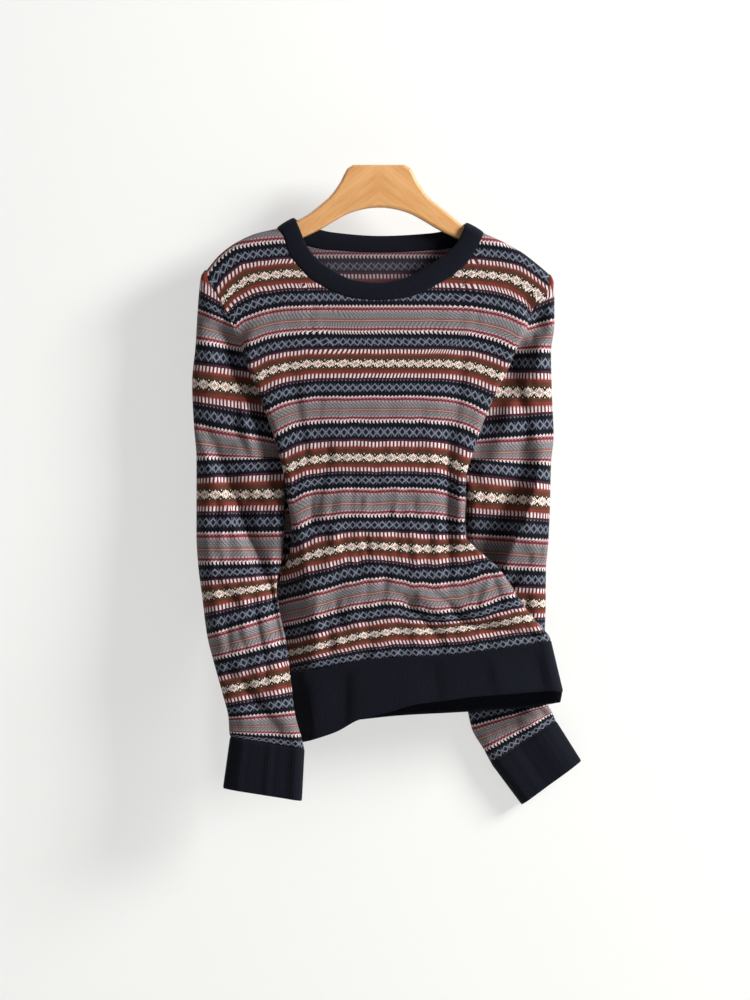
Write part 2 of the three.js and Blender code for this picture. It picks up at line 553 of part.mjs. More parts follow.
// A sleeve's row: as [x, y, z] from its back seam or inner edge round the outer edge to its front one
function sleeveRow(v, side, table, body) {
  const out = table.outX(v);
  const outZ = table.outZ(v);
  const middle = (table.front(v) + table.back(v)) / 2;
  const line = { out, outZ, middle, fold: table.foldX(v), step: table.step(v) };
  const half = (name, back) => {
    const plateau = table[name](v);
    if (body) {
      const [x, y, z] = body[name].at(-1);
      const start = { out: side.sign * x, deep: y };
      const from = outline[name + side.name](z) + CLEAR_OF_EDGE;
      return sleeveHalf(start, body.heading[name], SLEEVE_TURN, { ...line, plateau, from, inZ: z }, { back });
    }
    const grown = smooth((UNDERARM_SLEEVE_V - v) / GROW);
    const length = lerp(FIRST_TURN, (Math.abs(middle - plateau) * Math.PI) / 2, grown);
    const start = { out: table.inX(v), deep: middle * grown };
    const shape = { ...line, plateau, from: 0, inZ: table.inZ(v) };
    return sleeveHalf(start, -START_TURN, length, shape, { back });
  };
  const front = half('front', 1);
  const back = half('back', -1);
  const ring = [...back, ...front.reverse().slice(1)];
  const placed = ring.map(([place, y, z]) => [side.sign * place, y, z]);
  return side === LEFT ? placed : placed.reverse();
}

function sleeveRows(side, table) {
  const lower = SLEEVE_ROWS.map((v) => sleeveRow(v, side, table));
  const upper = [UNDERARM_V, ...ARMHOLE_ROWS].map((v) => {
    const body = bodySide(v, side);
    if (v < TIP_V) return sleeveRow(sleeveCourse(v), side, table, body);
    return lower[0].map(() => body.front.at(-1));
  });
  return [...lower, ...upper];
}

// A cuff carries on from its sleeve's last row down to its free end
function cuffRows(top, side, end) {
  const out = Math.max(...top.map(([x]) => side.sign * x));
  const inner = Math.min(...top.map(([x]) => side.sign * x));
  const deepest = Math.max(...top.map(([, y]) => y));
  const nearest = Math.min(...top.map(([, y]) => y));
  return Array.from({ length: CUFF_ROWS + 1 }, (_, row) => {
    const t = 1 - row / CUFF_ROWS;
    return top.map(([x, y, z]) => {
      const share = (side.sign * x - inner) / (out - inner);
      const deep = (y - nearest) / (deepest - nearest);
      return [
        lerp(x, side.sign * lerp(end.inX, end.outX, share), t),
        lerp(y, lerp(end.front, end.back, deep), t),
        lerp(z, lerp(end.inZ, end.outZ, share), t),
      ];
    });
  });
}

// The hem rib carries on from the lowest row of the body, all the way round
function hemRows(front, back) {
  const ring = [...front, ...back.slice(1)];
  return Array.from({ length: HEM_ROWS + 1 }, (_, row) => {
    const t = 1 - row / HEM_ROWS;
    return ring.map(([x, y, z]) => {
      const behind = smooth(y / HEM_BEHIND + 0.5);
      const low = lerp(hemEdge.front(x), hemEdge.back(x), behind);
      return [x + hemEdge.shift(x) * t, y - HEM_FLARE * t * t * (1 - behind), lerp(z, low, t)];
    });
  });
}

// The neckband, from its seam to its rim, round the front and back of the neck
function bandRows() {
  const along = (name) => [
    ...easedPlaces(FRONT_NECK_COLUMNS).map((a) => neckPoint(frontNeck, FRONT, name, a)),
    ...easedPlaces(BACK_NECK_COLUMNS).map((a) => neckPoint(backNeck, BACK, name, a)).reverse().slice(1),
  ];
  const seam = along('seam');
  const rim = along('rim');
  return Array.from({ length: BAND_ROWS + 1 }, (_, row) =>
    seam.map((point, i) => point.map((value, k) => lerp(value, rim[i][k], row / BAND_ROWS))));
}

// Middle surface of a piece: its rows as one list of points, each place only once, and its triangles
function middleSurface({ rows, clearOf = [], openAt = [], ...piece }) {
  const points = [];
  const index = new Map();
  const pointAt = (place) => {
    const key = placeKey(place);
    if (!index.has(key)) {
      index.set(key, points.length);
      points.push(new THREE.Vector3(...place));
    }
    return index.get(key);
  };
  const triangles = [];
  for (let row = 0; row + 1 < rows.length; row += 1) {
    for (let i = 0; i + 1 < rows[row].length; i += 1) {
      const corners = [rows[row][i], rows[row][i + 1], rows[row + 1][i + 1], rows[row + 1][i]].map(pointAt);
      for (const [a, b, c] of [[0, 1, 2], [0, 2, 3]]) {
        const triangle = [corners[a], corners[b], corners[c]];
        if (new Set(triangle).size === 3) triangles.push(triangle);
      }
    }
  }
  return { ...piece, clearOf, openAt, points, triangles };
}

const placeKey = (place) => place.map((value) => Math.round(value * 1000)).join(' ');
const keyOf = (point) => placeKey([point.x, point.y, point.z]);

function faceNormal(points, [a, b, c]) {
  const first = points[b].clone().sub(points[a]);
  return first.cross(points[c].clone().sub(points[a]));
}

// Normals shared by all pieces that meet at a place, so that their walls meet along a seam
function sharedNormals(pieces) {
  const normals = new Map();
  for (const { points, triangles } of pieces) {
    for (const triangle of triangles) {
      const normal = faceNormal(points, triangle);
      for (const corner of triangle) {
        const key = keyOf(points[corner]);
        if (!normals.has(key)) normals.set(key, new THREE.Vector3());
        normals.get(key).add(normal);
      }
    }
  }
  for (const normal of normals.values()) normal.normalize();
  return normals;
}

// Edges that only one triangle has
function freeEdges(triangles) {
  const seen = new Map();
  for (const triangle of triangles) {
    triangle.forEach((from, i) => {
      const to = triangle[(i + 1) % 3];
      seen.set(`${from} ${to}`, { from, to, triangle });
    });
  }
  return [...seen.values()].filter(({ from, to }) => !seen.has(`${to} ${from}`));
}

// Thickens a middle surface to a closed wall, drawn back at its edges by inset
function wall({ points, triangles }, normals, thick, inset) {
  const edges = freeEdges(triangles);
  const drawn = points.map((point) => point.clone());
  const inwards = points.map(() => []);
  for (const { from, to, triangle } of edges) {
    const along = points[to].clone().sub(points[from]);
    const inward = faceNormal(points, triangle).cross(along).normalize();
    for (const end of [from, to]) {
      inwards[end].push(inward.clone().projectOnPlane(normals.get(keyOf(points[end]))).normalize());
    }
  }
  inwards.forEach((directions, i) => {
    if (directions.length === 0) return;
    const sum = directions.reduce((total, direction) => total.add(direction), new THREE.Vector3());
    const reach = Math.max(sum.lengthSq() / directions.length, LEAST_MITRE);
    drawn[i].addScaledVector(sum, inset / reach);
  });
  const positions = [];
  for (const half of [thick / 2, -thick / 2]) {
    drawn.forEach((point, i) => {
      const moved = point.clone().addScaledVector(normals.get(keyOf(points[i])), half);
      positions.push(moved.x, moved.y, moved.z);
    });
  }
  const inner = points.length;
  const faces = [
    ...triangles,
    ...triangles.map(([a, b, c]) => [c + inner, b + inner, a + inner]),
    ...edges.flatMap(({ from, to }) => [[to, from, from + inner], [to, from + inner, to + inner]]),
  ];
  const geometry = new THREE.BufferGeometry();
  geometry.setAttribute('position', new THREE.Float32BufferAttribute(positions, 3));
  geometry.setIndex(faces.flat());
  return geometry;
}

function solidOf(geometry) {
  return new wasm.Manifold(new wasm.Mesh({
    numProp: 3,
    vertProperties: geometry.getAttribute('position').array,
    triVerts: new Uint32Array(geometry.index.array),
  }));
}

// The point where front, back and sleeve meet at an underarm is left open by this small ball
function underarmBall([x, y, z]) {
  const ball = new THREE.OctahedronGeometry(UNDERARM_OPEN, 2).deleteAttribute('normal').deleteAttribute('uv');
  return mergeVertices(ball).translate(x, y, z);
}

// Trims a wall where its neighbours' walls lie, and keeps the seam gap to them
function trim(geometry, room) {
  const left = room.reduce((solid, other) => solid.subtract(solidOf(other)), solidOf(geometry));
  const [largest] = left.decompose().sort((first, second) => second.volume() - first.volume());
  const { vertProperties, triVerts } = largest.getMesh();
  const trimmed = new THREE.BufferGeometry();
  trimmed.setAttribute('position', new THREE.BufferAttribute(vertProperties, 3));
  trimmed.setIndex(new THREE.BufferAttribute(triVerts, 1));
  const welded = mergeVertices(trimmed, SLIVER);
  const corners = [...welded.index.array];
  const triangles = corners.flatMap((_, i) => (i % 3 === 0 ? [corners.slice(i, i + 3)] : []));
  welded.setIndex(triangles.filter((triangle) => new Set(triangle).size === 3).flat());
  return welded;
}

// Flat hanger: one board with rounded corners, its arms hidden in the shoulders. Its top edge runs
// just under the shoulder seams, and the flat in the middle of its top is where it is held.
function hanger(material) {
  const armPoints = (sign) => [
    ...HANGER_TOP,
    ...HANGER_ARM.map((out) => [out, shoulderHeight(sign * out) - SEAT]),
    ...HANGER_TIP.map(([out, below]) => [out, shoulderHeight(sign * out) - below]),
    ...HANGER_UNDER,
  ].map(([out, z]) => new THREE.Vector2(sign * out, z));
  const middle = new THREE.Vector2(0, HANGER_MIDDLE);
  const around = new THREE.SplineCurve([...armPoints(1), middle, ...armPoints(-1).reverse()]);
  const board = new THREE.ExtrudeGeometry(new THREE.Shape(around.getSpacedPoints(HANGER_STEPS)), {
    depth: HANGER_THICK - 2 * HANGER_BEVEL,
    bevelThickness: HANGER_BEVEL,
    bevelSize: HANGER_BEVEL,
    bevelOffset: -HANGER_BEVEL,
    bevelSegments: 2,
  });
  board.translate(0, 0, HANGER_BEVEL - HANGER_THICK / 2);
  board.rotateX(Math.PI / 2);
  const mesh = new THREE.Mesh(board, material);
  mesh.name = 'hanger';
  return mesh;
}

const wool = (colour) => new THREE.MeshStandardMaterial({ color: colour, roughness: 0.95, metalness: 0 });
const patterned = wool('#5c5f66');
const navy = wool('#1b2135');
const beech = new THREE.MeshStandardMaterial({ color: '#dca765', roughness: 0.5, metalness: 0 });

const frontRows = [...LOWER_ROWS, ...ARMHOLE_ROWS].map((v) => panelRow(v, FRONT));
const backRows = [...LOWER_ROWS, ...ARMHOLE_ROWS].map((v) => panelRow(v, BACK).reverse());
const leftSleeveRows = sleeveRows(LEFT, leftSleeve);
const rightSleeveRows = sleeveRows(RIGHT, rightSleeve);
const rightCuffRows = cuffRows(leftSleeveRows[0], LEFT, LEFT_CUFF_END);
const leftCuffRows = cuffRows(rightSleeveRows[0], RIGHT, RIGHT_CUFF_END);

const surfaces = [
  { name: 'front', rows: frontRows, thick: CLOTH, material: patterned },
  { name: 'back', rows: backRows, thick: CLOTH, material: patterned },
  {
    name: 'right_sleeve', rows: leftSleeveRows, thick: CLOTH, material: patterned,
    clearOf: ['front', 'back'], openAt: [bodySide(UNDERARM_V, LEFT).front.at(-1)],
  },
  {
    name: 'left_sleeve', rows: rightSleeveRows, thick: CLOTH, material: patterned,
    clearOf: ['front', 'back'], openAt: [bodySide(UNDERARM_V, RIGHT).front.at(-1)],
  },
  { name: 'right_cuff', rows: rightCuffRows, thick: RIB_CLOTH, material: navy },
  { name: 'left_cuff', rows: leftCuffRows, thick: RIB_CLOTH, material: navy },
  { name: 'hem_rib', rows: hemRows(frontRows[0], backRows[0]), thick: RIB_CLOTH, material: navy },
  { name: 'neckband', rows: bandRows(), thick: BAND_CLOTH, material: navy },
].map(middleSurface);

const normals = sharedNormals(surfaces);
const jumper = new THREE.Group();
jumper.add(hanger(beech));
for (const surface of surfaces) {
  const { name, thick, material, clearOf, openAt } = surface;
  const room = surfaces.filter((other) => clearOf.includes(other.name)).flatMap((other) => [
    wall(other, normals, other.thick + 2 * SEAM_GAP, 0),
    wall(other, normals, other.thick, SEAM_GAP / 2),
  ]);
  const balls = openAt.map(underarmBall);
  const geometry = trim(wall(surface, normals, thick, SEAM_GAP / 2), [...room, ...balls]);
  geometry.computeVertexNormals();
  const mesh = new THREE.Mesh(geometry, material);
  mesh.name = name;
  jumper.add(mesh);
}
export default jumper;
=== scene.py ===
# Fair isle jumper hanging on a flat beech hanger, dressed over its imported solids.
# Tables are in millimetres and meshes in metres. +X is right as seen from the front, -Y is towards
# the viewer and +Z is up; the origin is the middle of the hanger's flat top, where it is held.
import math

import bpy
import numpy as np
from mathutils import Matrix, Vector


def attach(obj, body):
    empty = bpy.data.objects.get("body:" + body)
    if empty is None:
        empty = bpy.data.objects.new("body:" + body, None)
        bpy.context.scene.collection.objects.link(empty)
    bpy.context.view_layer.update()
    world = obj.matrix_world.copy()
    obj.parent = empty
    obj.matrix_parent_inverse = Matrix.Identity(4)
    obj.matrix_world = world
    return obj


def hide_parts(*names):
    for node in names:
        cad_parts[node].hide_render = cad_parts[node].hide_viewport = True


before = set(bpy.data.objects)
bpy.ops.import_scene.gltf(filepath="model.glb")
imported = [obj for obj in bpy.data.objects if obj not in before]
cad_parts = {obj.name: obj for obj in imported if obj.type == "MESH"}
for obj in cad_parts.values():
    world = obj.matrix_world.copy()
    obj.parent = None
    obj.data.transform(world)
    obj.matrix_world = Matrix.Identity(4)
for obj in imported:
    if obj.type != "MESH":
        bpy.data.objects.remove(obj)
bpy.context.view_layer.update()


# Hanger
# One flat board of solid beech, sawn to the shape of the shoulders with rounded edges, its grain
# along each arm. Sanded and given a thin satin lacquer, so the grain shows under a soft gloss.
def linear(colour):
    """A hex sRGB colour as linear red, green, blue and alpha."""
    parts = [int(colour[k:k + 2], 16) / 255 for k in (1, 3, 5)]
    return [c / 12.92 if c <= 0.04045 else ((c + 0.055) / 1.055) ** 2.4 for c in parts] + [1.0]


def add(tree, kind, inputs=None, **settings):
    """Adds a node with its settings. An input is a value, a socket, or a node's first output."""
    made = tree.nodes.new("ShaderNode" + kind)
    for name, value in settings.items():
        setattr(made, name, value)
    for place, value in (inputs or {}).items():
        if isinstance(value, bpy.types.Node):
            value = value.outputs[0]
        if isinstance(value, bpy.types.NodeSocket):
            tree.links.new(value, made.inputs[place])
        else:
            made.inputs[place].default_value = value
    return made


def new_material(name):
    """A material with its tree and its Principled shader."""
    made = bpy.data.materials.new(name)
    made.use_nodes = True
    return made, made.node_tree, made.node_tree.nodes["Principled BSDF"]


# Beech: pale tan with a warm orange cast under lacquer, fine straight grain and short dark flecks.
METRE = 1000.0
GRAIN_FALL = math.radians(38)
GRAIN_WIDE = 5.0
beech, tree, shader = new_material("lacquered_beech")
split = add(tree, "SeparateXYZ", {0: add(tree, "TexCoord").outputs["Object"]})
out = add(tree, "Math", {0: split.outputs["X"]}, operation="ABSOLUTE")
mirrored = add(tree, "CombineXYZ", {"X": out, "Y": split.outputs["Y"], "Z": split.outputs["Z"]})
along = add(tree, "Mapping", {"Vector": mirrored, "Rotation": (0, -GRAIN_FALL, 0)})
grain_place = add(tree, "VectorMath", {0: along, 1: (0.1, 1.0, 1.0)}, operation="MULTIPLY")
broad = add(tree, "TexNoise", {"Vector": grain_place, "Scale": METRE / (3 * GRAIN_WIDE), "Detail": 3.0})
fine = add(tree, "TexNoise", {"Vector": grain_place, "Scale": 2 * METRE / GRAIN_WIDE, "Detail": 5.0})
mean = add(tree, "Math", {0: broad, 1: fine}, operation="ADD")
tones = add(tree, "ValToRGB", {0: add(tree, "Math", {0: mean, 1: 0.5}, operation="MULTIPLY")})
tones.color_ramp.elements[0].position = 0.36
tones.color_ramp.elements[0].color = linear("#c68d52")
tones.color_ramp.elements[1].position = 0.62
tones.color_ramp.elements[1].color = linear("#d5a26c")
flecks = add(tree, "TexNoise", {"Vector": grain_place, "Scale": 4 * METRE / GRAIN_WIDE, "Detail": 1.0})
fleck = add(tree, "MapRange", {0: flecks, 1: 0.6, 2: 0.75, 4: 0.5})
wood = add(tree, "MixRGB", {"Fac": fleck, "Color1": tones, "Color2": linear("#b57a40")})
tree.links.new(wood.outputs[0], shader.inputs["Base Color"])
shader.inputs["Roughness"].default_value = 0.42
shader.inputs["Coat Weight"].default_value = 0.15
shader.inputs["Coat Roughness"].default_value = 0.3
pores = add(tree, "Bump", {"Height": fine, "Strength": 0.15, "Distance": 0.0002})
tree.links.new(pores.outputs[0], shader.inputs["Normal"])
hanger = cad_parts["hanger"]
hanger.data.materials.clear()
hanger.data.materials.append(beech)


# Front and back
# The two body panels, knitted in fine lambswool as one stranded fair isle fabric and joined at the
# shoulders and sides. Hung by the shoulders, the sides roll in and the lower right side swings out.
def curve(at, value):
    """A smooth curve through a table's column, flat past its ends and never past its own values."""
    rise = np.diff(value) / np.diff(at)
    before = np.concatenate([rise[:1], rise])
    after = np.concatenate([rise, rise[-1:]])
    same = before * after > 0
    slope = np.where(same, 2 * before * after / np.where(same, before + after, 1), 0)

    def read(place):
        place = np.clip(place, at[0], at[-1])
        i = np.clip(np.searchsorted(at, place, side="right") - 1, 0, len(at) - 2)
        wide = at[i + 1] - at[i]
        t = (place - at[i]) / wide
        level = value[i] + t * t * (3 - 2 * t) * (value[i + 1] - value[i])
        return level + wide * t * (1 - t) * ((1 - t) * slope[i] - t * slope[i + 1])

    return read


def table(names, text):
    """Curves through a table's columns, each against the first column."""
    rows = np.array([[float(word) for word in line.split()] for line in text.strip().splitlines()])
    rows = rows[np.argsort(rows[:, 0])]
    return {name: curve(rows[:, 0], rows[:, k]) for k, name in enumerate(names.split()) if k}


# Courses of the body: centre, drop at the left and right edges, bend there, and the right half's sag
courses = table("v centreX centreZ dropL dropR bend sag", """
    502 1 -74 21 28 5.5 0
    452 1 -124 23 24 5.5 0
    414 1 -162 21 23 5.5 0
    383 1 -192 19 21 5.5 0
    347 1 -227 19 18 5.5 0
    309 1 -265 19 20 5.5 0
    278 1 -293 18 15 5.5 0
    242 1 -334 17 16 5.5 0
    204 0 -369 17 14 5 0
    173 0 -400 17 7 4 0
    137 1 -434 23 1 2.6 3
    99 7 -470 30 -8 1.4 10
    68 15 -498 30 -11 1.4 14
    32 22 -530 30 -16 1.4 3
    0 35 -559 22 -18 1.6 0
""")
# How far out the front and back reach on each side, by height
outline = table("z frontL frontR backL backR", """
    -117 196 192 196 192
    -129 195 193 195 193
    -153 182 189 183 189
    -161 178 177 180 184
    -188 163 169 168 174
    -211 155 156 161 164
    -235 147 146 154 155
    -263 136 132 145 143
    -284 129 123 138 134
    -312 119 112 127 122
    -335 112 105 118 112
    -358 107 98 119 101
    -385 103 97 122 98
    -422 98 96 125 98
    -434 99 106 127 105
    -446 101 121 128 117
    -460 106 137 129 136
    -474 112 146 130 145
    -502 116 164 130 163
    -524 116 181 129 178
    -541 114 194 128 190
    -581 112 194 126 190
""")
# Sides: turn at the front's edge in half turns, cloth tucked in behind it, depth of the side seam
tucks = table("z foldL foldR tuckL tuckR seamL seamR", """
    -120 0 0 6 6 0 0
    -155 0 0 6 6 0 0
    -180 0 0.3 6 6 0 0
    -205 0.28 0.6 6 6 0 0
    -235 0.62 0.9 6 8 0 0
    -265 0.92 1 8 10 0 0
    -335 1 1 10 10 0 0
    -385 1 1 30 26 0 0
    -425 1 0.9 36 16 0 -6
    -450 1 0.62 36 6 0 -11
    -480 1 0.5 36 4 0 -9
    -541 1 0.5 30 4 2 -3
    -581 1 0.5 24 4 4 0
""")
# Depth of the flat of the front and back, and how far the front's left end turns back
depths = table("z front back turnL edgeR", """
    -75 11 11 0 0
    -120 12.5 12 0 0
    -160 15 15 0 0
    -230 20 19 0 0
    -335 24 22 0 0
    -400 25 24 0 8
    -434 26 24 8 22
    -446 26 24 12 24
    -480 27 25 20 20
    -502 27 25 22 13
    -541 26 25 23 4
    -581 25 25 23 2
""")
# Shoulder seam: height by distance out
shoulder = table("out left right", """
    80 -52 -55
    96 -61 -65
    116 -73 -77
    140 -79 -88
    160 -88 -99
    180 -102 -114
    196 -120 -128
""")
# Neck: the seam, and the neckband's free rim, by place from left to right
front_neck = table("a seamX seamZ rimX rimZ", """
    0 -116 -73 -96 -61
    0.04 -109 -82 -91 -72
    0.1 -104 -100 -85 -87
    0.165 -92 -116 -76 -102
    0.24 -76 -132 -62 -115
    0.41 -28 -153 -24 -133
    0.507 0 -155 0 -135
    0.595 27 -153 22 -132
    0.768 75 -132 63 -111
    0.868 99 -113 82 -97
    0.952 113 -92 93 -81
    1 119 -78.4 99 -66.5
""")
back_neck = table("a seamX seamZ rimX rimZ", """
    0 -116 -73 -96 -61
    0.08 -99 -85 -82 -68
    0.24 -60 -96 -52 -76
    0.5 2 -99 2 -80
    0.76 67 -96 58 -77
    0.92 103 -88 87 -71
    1 119 -78.4 99 -66.5
""")
# Courses at the underarm and the shoulder tip, and the table's reach for finding a course
UNDERARM_V = 256
TIP_V = 477
TOP_FROM = 400
HIGHEST_V = 560
HALVINGS = 26
PAST_EDGE = 1.15
# The front's crown and turned left end, and the back's right end that comes forward
CROWN_HIGH = 3
CROWN_FROM = -150
CROWN_SPAN = 150
TURN_FROM = -83
TURN_SPAN = 32
FORWARD_FROM = 50
FORWARD_SPAN = 60
# Rolled sides: lengths round the roll and the turn behind it, and the room between two layers
ROLL = 20
TURN = 17.8
TOP_TURN = 5
TOP_TUCK = 6
LEAST_TUCK = 3
LAYER = 8
SQUEEZE = 0.55
ARCH = 8
BACK_RISE = 14
UNDERARM_FROM = -262
UNDERARM_SPAN = 73
UNDERARM_HEADING = {"front": -0.8, "back": 0.15}
SIDE_STEPS = (9, 6, 6)
SHOULDER_COLUMNS = 16
NECK_COLUMNS = {"front": 56, "back": 48}
LEFT = ("L", -1)
RIGHT = ("R", 1)


def smooth(value):
    value = np.clip(value, 0, 1)
    return value * value * (3 - 2 * value)


def lerp(start, end, t):
    return start + (end - start) * t


def end_height(v, side):
    return courses["centreZ"](v) - courses["drop" + side[0]](v)


def course_height(v, x):
    """Height of a body course at x."""
    centre_x = courses["centreX"](v)
    height = courses["centreZ"](v) + 0 * x
    for side in (LEFT, RIGHT):
        edge = side[1] * outline["front" + side[0]](end_height(v, side))
        share = np.clip((x - centre_x) / (edge - centre_x), 0, PAST_EDGE)
        height = height - courses["drop" + side[0]](v) * share ** courses["bend"](v)
        if side is RIGHT:
            height = height - courses["sag"](v) * np.sin(np.pi * np.minimum(share, 1))
    return height


def shoulder_height(x):
    return np.where(x < 0, shoulder["left"](-x), shoulder["right"](x))


def arch(x, z):
    """The cloth arches over the hanger: 0 at the shoulder seam, 1 a little below it."""
    below = np.clip((shoulder_height(x) - z) / ARCH, 0, 1)
    return np.sqrt(1 - (1 - below) ** 2)


def front_depth(x, z):
    wide = np.where(x < 0, outline["frontL"](z), outline["frontR"](z))
    across = 1 - np.minimum(np.abs(x / wide), 1) ** 2
    crown = CROWN_HIGH * across * smooth((CROWN_FROM - z) / CROWN_SPAN)
    turned = depths["turnL"](z) * smooth((TURN_FROM - x) / TURN_SPAN)
    return -arch(x, z) * (depths["front"](z) + crown) + turned


def back_depth(x, z):
    forward = depths["edgeR"](z) * smooth((x - FORWARD_FROM) / FORWARD_SPAN)
    return arch(x, z) * (depths["back"](z) - forward)


PANEL_DEPTH = {"front": front_depth, "back": back_depth}


def walk(stretches, heading):
    """A path of out and deep places that turns steadily through each stretch."""
    places = [np.zeros(2)]
    for length, turn, steps in stretches:
        for _ in range(steps):
            middle = heading + turn / steps / 2
            step = length / steps * np.array([math.cos(middle), math.sin(middle)])
            places.append(places[-1] + step)
            heading += turn / steps
    return np.array(places)


def land_at(points, end):
    """Moves a row's end to a wanted place, and the rest of it in proportion."""
    share = np.linspace(0, 1, len(points))[:, None]
    return points + share * (np.asarray(end) - points[-1])


def panel_edge(v, side, panel, fold, tuck, turn, bend):
    """A panel's side stretch on course v: it rolls over at its edge and tucks in behind."""
    end_z = end_height(v, side)
    top = smooth((v - TOP_FROM) / (TIP_V - TOP_FROM))
    squeeze = 1 - SQUEEZE * math.sin(fold) if v > UNDERARM_V else 1
    lengths = (ROLL * squeeze, tuck * squeeze, turn * squeeze)
    path = walk(list(zip(lengths, (fold, 0, -bend), SIDE_STEPS)), 0)
    edge = outline[panel + side[0]](end_z)
    start = edge - path[:, 0].max()
    start_x = side[1] * start
    start_shoulder = shoulder_height(start_x)
    start_z = lerp(course_height(v, start_x), start_shoulder - (TIP_V - v), top)
    share = np.linspace(0, 1, len(path))
    x = side[1] * (start + path[:, 0])
    straight = lerp(start_shoulder, shoulder_height(side[1] * edge), share)
    z = lerp(start_z, end_z, share) + top * (shoulder_height(x) - straight)
    inward = 1 if panel == "front" else -1
    y = PANEL_DEPTH[panel](x, z) + inward * path[:, 1] * arch(x, z) if v < TIP_V else 0 * x
    return np.stack([x, y, z], axis=1)


def body_side(v, side):
    """Both panels' side stretches on course v, up to their seam, and which way each arrives."""
    end_z = end_height(v, side)
    near = 1 if v <= UNDERARM_V else float(smooth((UNDERARM_FROM - end_z) / UNDERARM_SPAN))
    fold = math.pi * float(tucks["fold" + side[0]](end_z))
    bend = (fold - math.pi / 2) * near
    tuck = float(tucks["tuck" + side[0]](end_z))
    turn = lerp(TOP_TURN, TURN, near)
    front = panel_edge(v, side, "front", fold, tuck, turn, bend)
    back_edge = outline["back" + side[0]](end_z)
    if v <= UNDERARM_V:
        seam = [front[-1, 0], float(tucks["seam" + side[0]](end_z)), front[-1, 2]]
        room = back_edge - abs(seam[0]) - 2 * LAYER
        back = panel_edge(v, side, "back", fold, max(room, LEAST_TUCK), turn, bend)
        return {"front": land_at(front, seam), "back": land_at(back, seam), "heading": UNDERARM_HEADING}
    if v >= TIP_V:
        return {"front": front, "back": front}
    underarm = body_side(UNDERARM_V, side)["front"][-1]
    room = back_edge - abs(underarm[0]) - 2 * LAYER
    back_fold = fold * near
    back_bend = (back_fold - math.pi / 2) * near ** 2
    back = panel_edge(v, side, "back", back_fold, lerp(TOP_TUCK, room, near), TOP_TURN, back_bend)
    eased = math.sqrt(near)
    return {
        "front": land_at(front, lerp(front[-1], underarm, near)),
        "back": land_at(back, lerp(back[-1], underarm, near)),
        "heading": {
            "front": lerp(fold - bend, UNDERARM_HEADING["front"], eased),
            "back": lerp(back_fold - back_bend, UNDERARM_HEADING["back"], eased),
        },
    }


def neck_line(neck, panel, name, a):
    """Points of a neck seam or rim, at places a from 0 on the left to 1 on the right."""
    x = neck[name + "X"](a)
    end = (a <= 0) | (a >= 1)
    z = np.where(end, shoulder_height(x), neck[name + "Z"](a))
    return np.stack([x, np.where(end, 0, PANEL_DEPTH[panel](x, z)), z], axis=1)


def top_edge(panel, neck):
    """Shoulder seam, neck seam and shoulder seam, between the side stretches."""
    places = 0.5 - 0.5 * np.cos(np.linspace(0, np.pi, NECK_COLUMNS[panel] + 1))
    middle = neck_line(neck, panel, "seam", places)
    parts = []
    for side, inner in ((LEFT, middle[0, 0]), (RIGHT, middle[-1, 0])):
        x = np.linspace(body_side(TIP_V, side)[panel][0, 0], inner, SHOULDER_COLUMNS + 1)[:-1]
        parts.append(np.stack([x, 0 * x, shoulder_height(x)], axis=1))
    return np.concatenate([parts[0], middle, parts[1][::-1]])


def lower_face(v, panel, left, right, columns):
    share = np.linspace(0, 1, columns)
    x = lerp(left[0], right[0], share)
    level = lerp(left[2], right[2], share) + BACK_RISE * 4 * share * (1 - share)
    z = course_height(v, x) if panel == "front" else level
    return np.stack([x, PANEL_DEPTH[panel](x, z), z], axis=1)


def panel_rows(panel, neck):
    """All rows of a panel from the hem seam up, each from its left seam to its right seam."""
    top = top_edge(panel, neck)
    columns = len(top)
    share = np.linspace(0, 1, columns)[:, None]
    low_sides = [body_side(UNDERARM_V, side)[panel][0] for side in (LEFT, RIGHT)]
    low = lower_face(UNDERARM_V, panel, *low_sides, columns)
    rows = []
    for v in BODY_ROWS:
        left, right = (body_side(v, side)[panel] for side in (LEFT, RIGHT))
        if v <= UNDERARM_V:
            face = lower_face(v, panel, left[0], right[0], columns)
        else:
            t = (v - UNDERARM_V) / (TIP_V - UNDERARM_V)
            corners = lerp(lerp(low[0], low[-1], share), lerp(top[0], top[-1], share), t)
            face = lerp(low, top, t) + lerp(left[0], right[0], share) - corners
            face[:, 1] = PANEL_DEPTH[panel](face[:, 0], face[:, 2])
        if v >= TIP_V:
            face = top
        rows.append(np.concatenate([left[:0:-1], face, right[1:]]))
    return np.array(rows)


def course_at(x, z):
    """The body course that passes through x and z, by halving."""
    low, high = 0 * x, 0 * x + HIGHEST_V
    for _ in range(HALVINGS):
        middle = (low + high) / 2
        above = course_height(middle, x) > z
        high = np.where(above, middle, high)
        low = np.where(above, low, middle)
    return (low + high) / 2


def along_row(rows):
    """Distance along each row from its middle column."""
    step = np.linalg.norm(np.diff(rows, axis=1), axis=2)
    far = np.concatenate([np.zeros((len(rows), 1)), np.cumsum(step, axis=1)], axis=1)
    return far - far[:, [rows.shape[1] // 2]]


# How a fold's steep side, its easy side and its two ends compare with its own width and depth
STEEP = 0.5
EASY = 1.2
END_DEPTH = 0.25


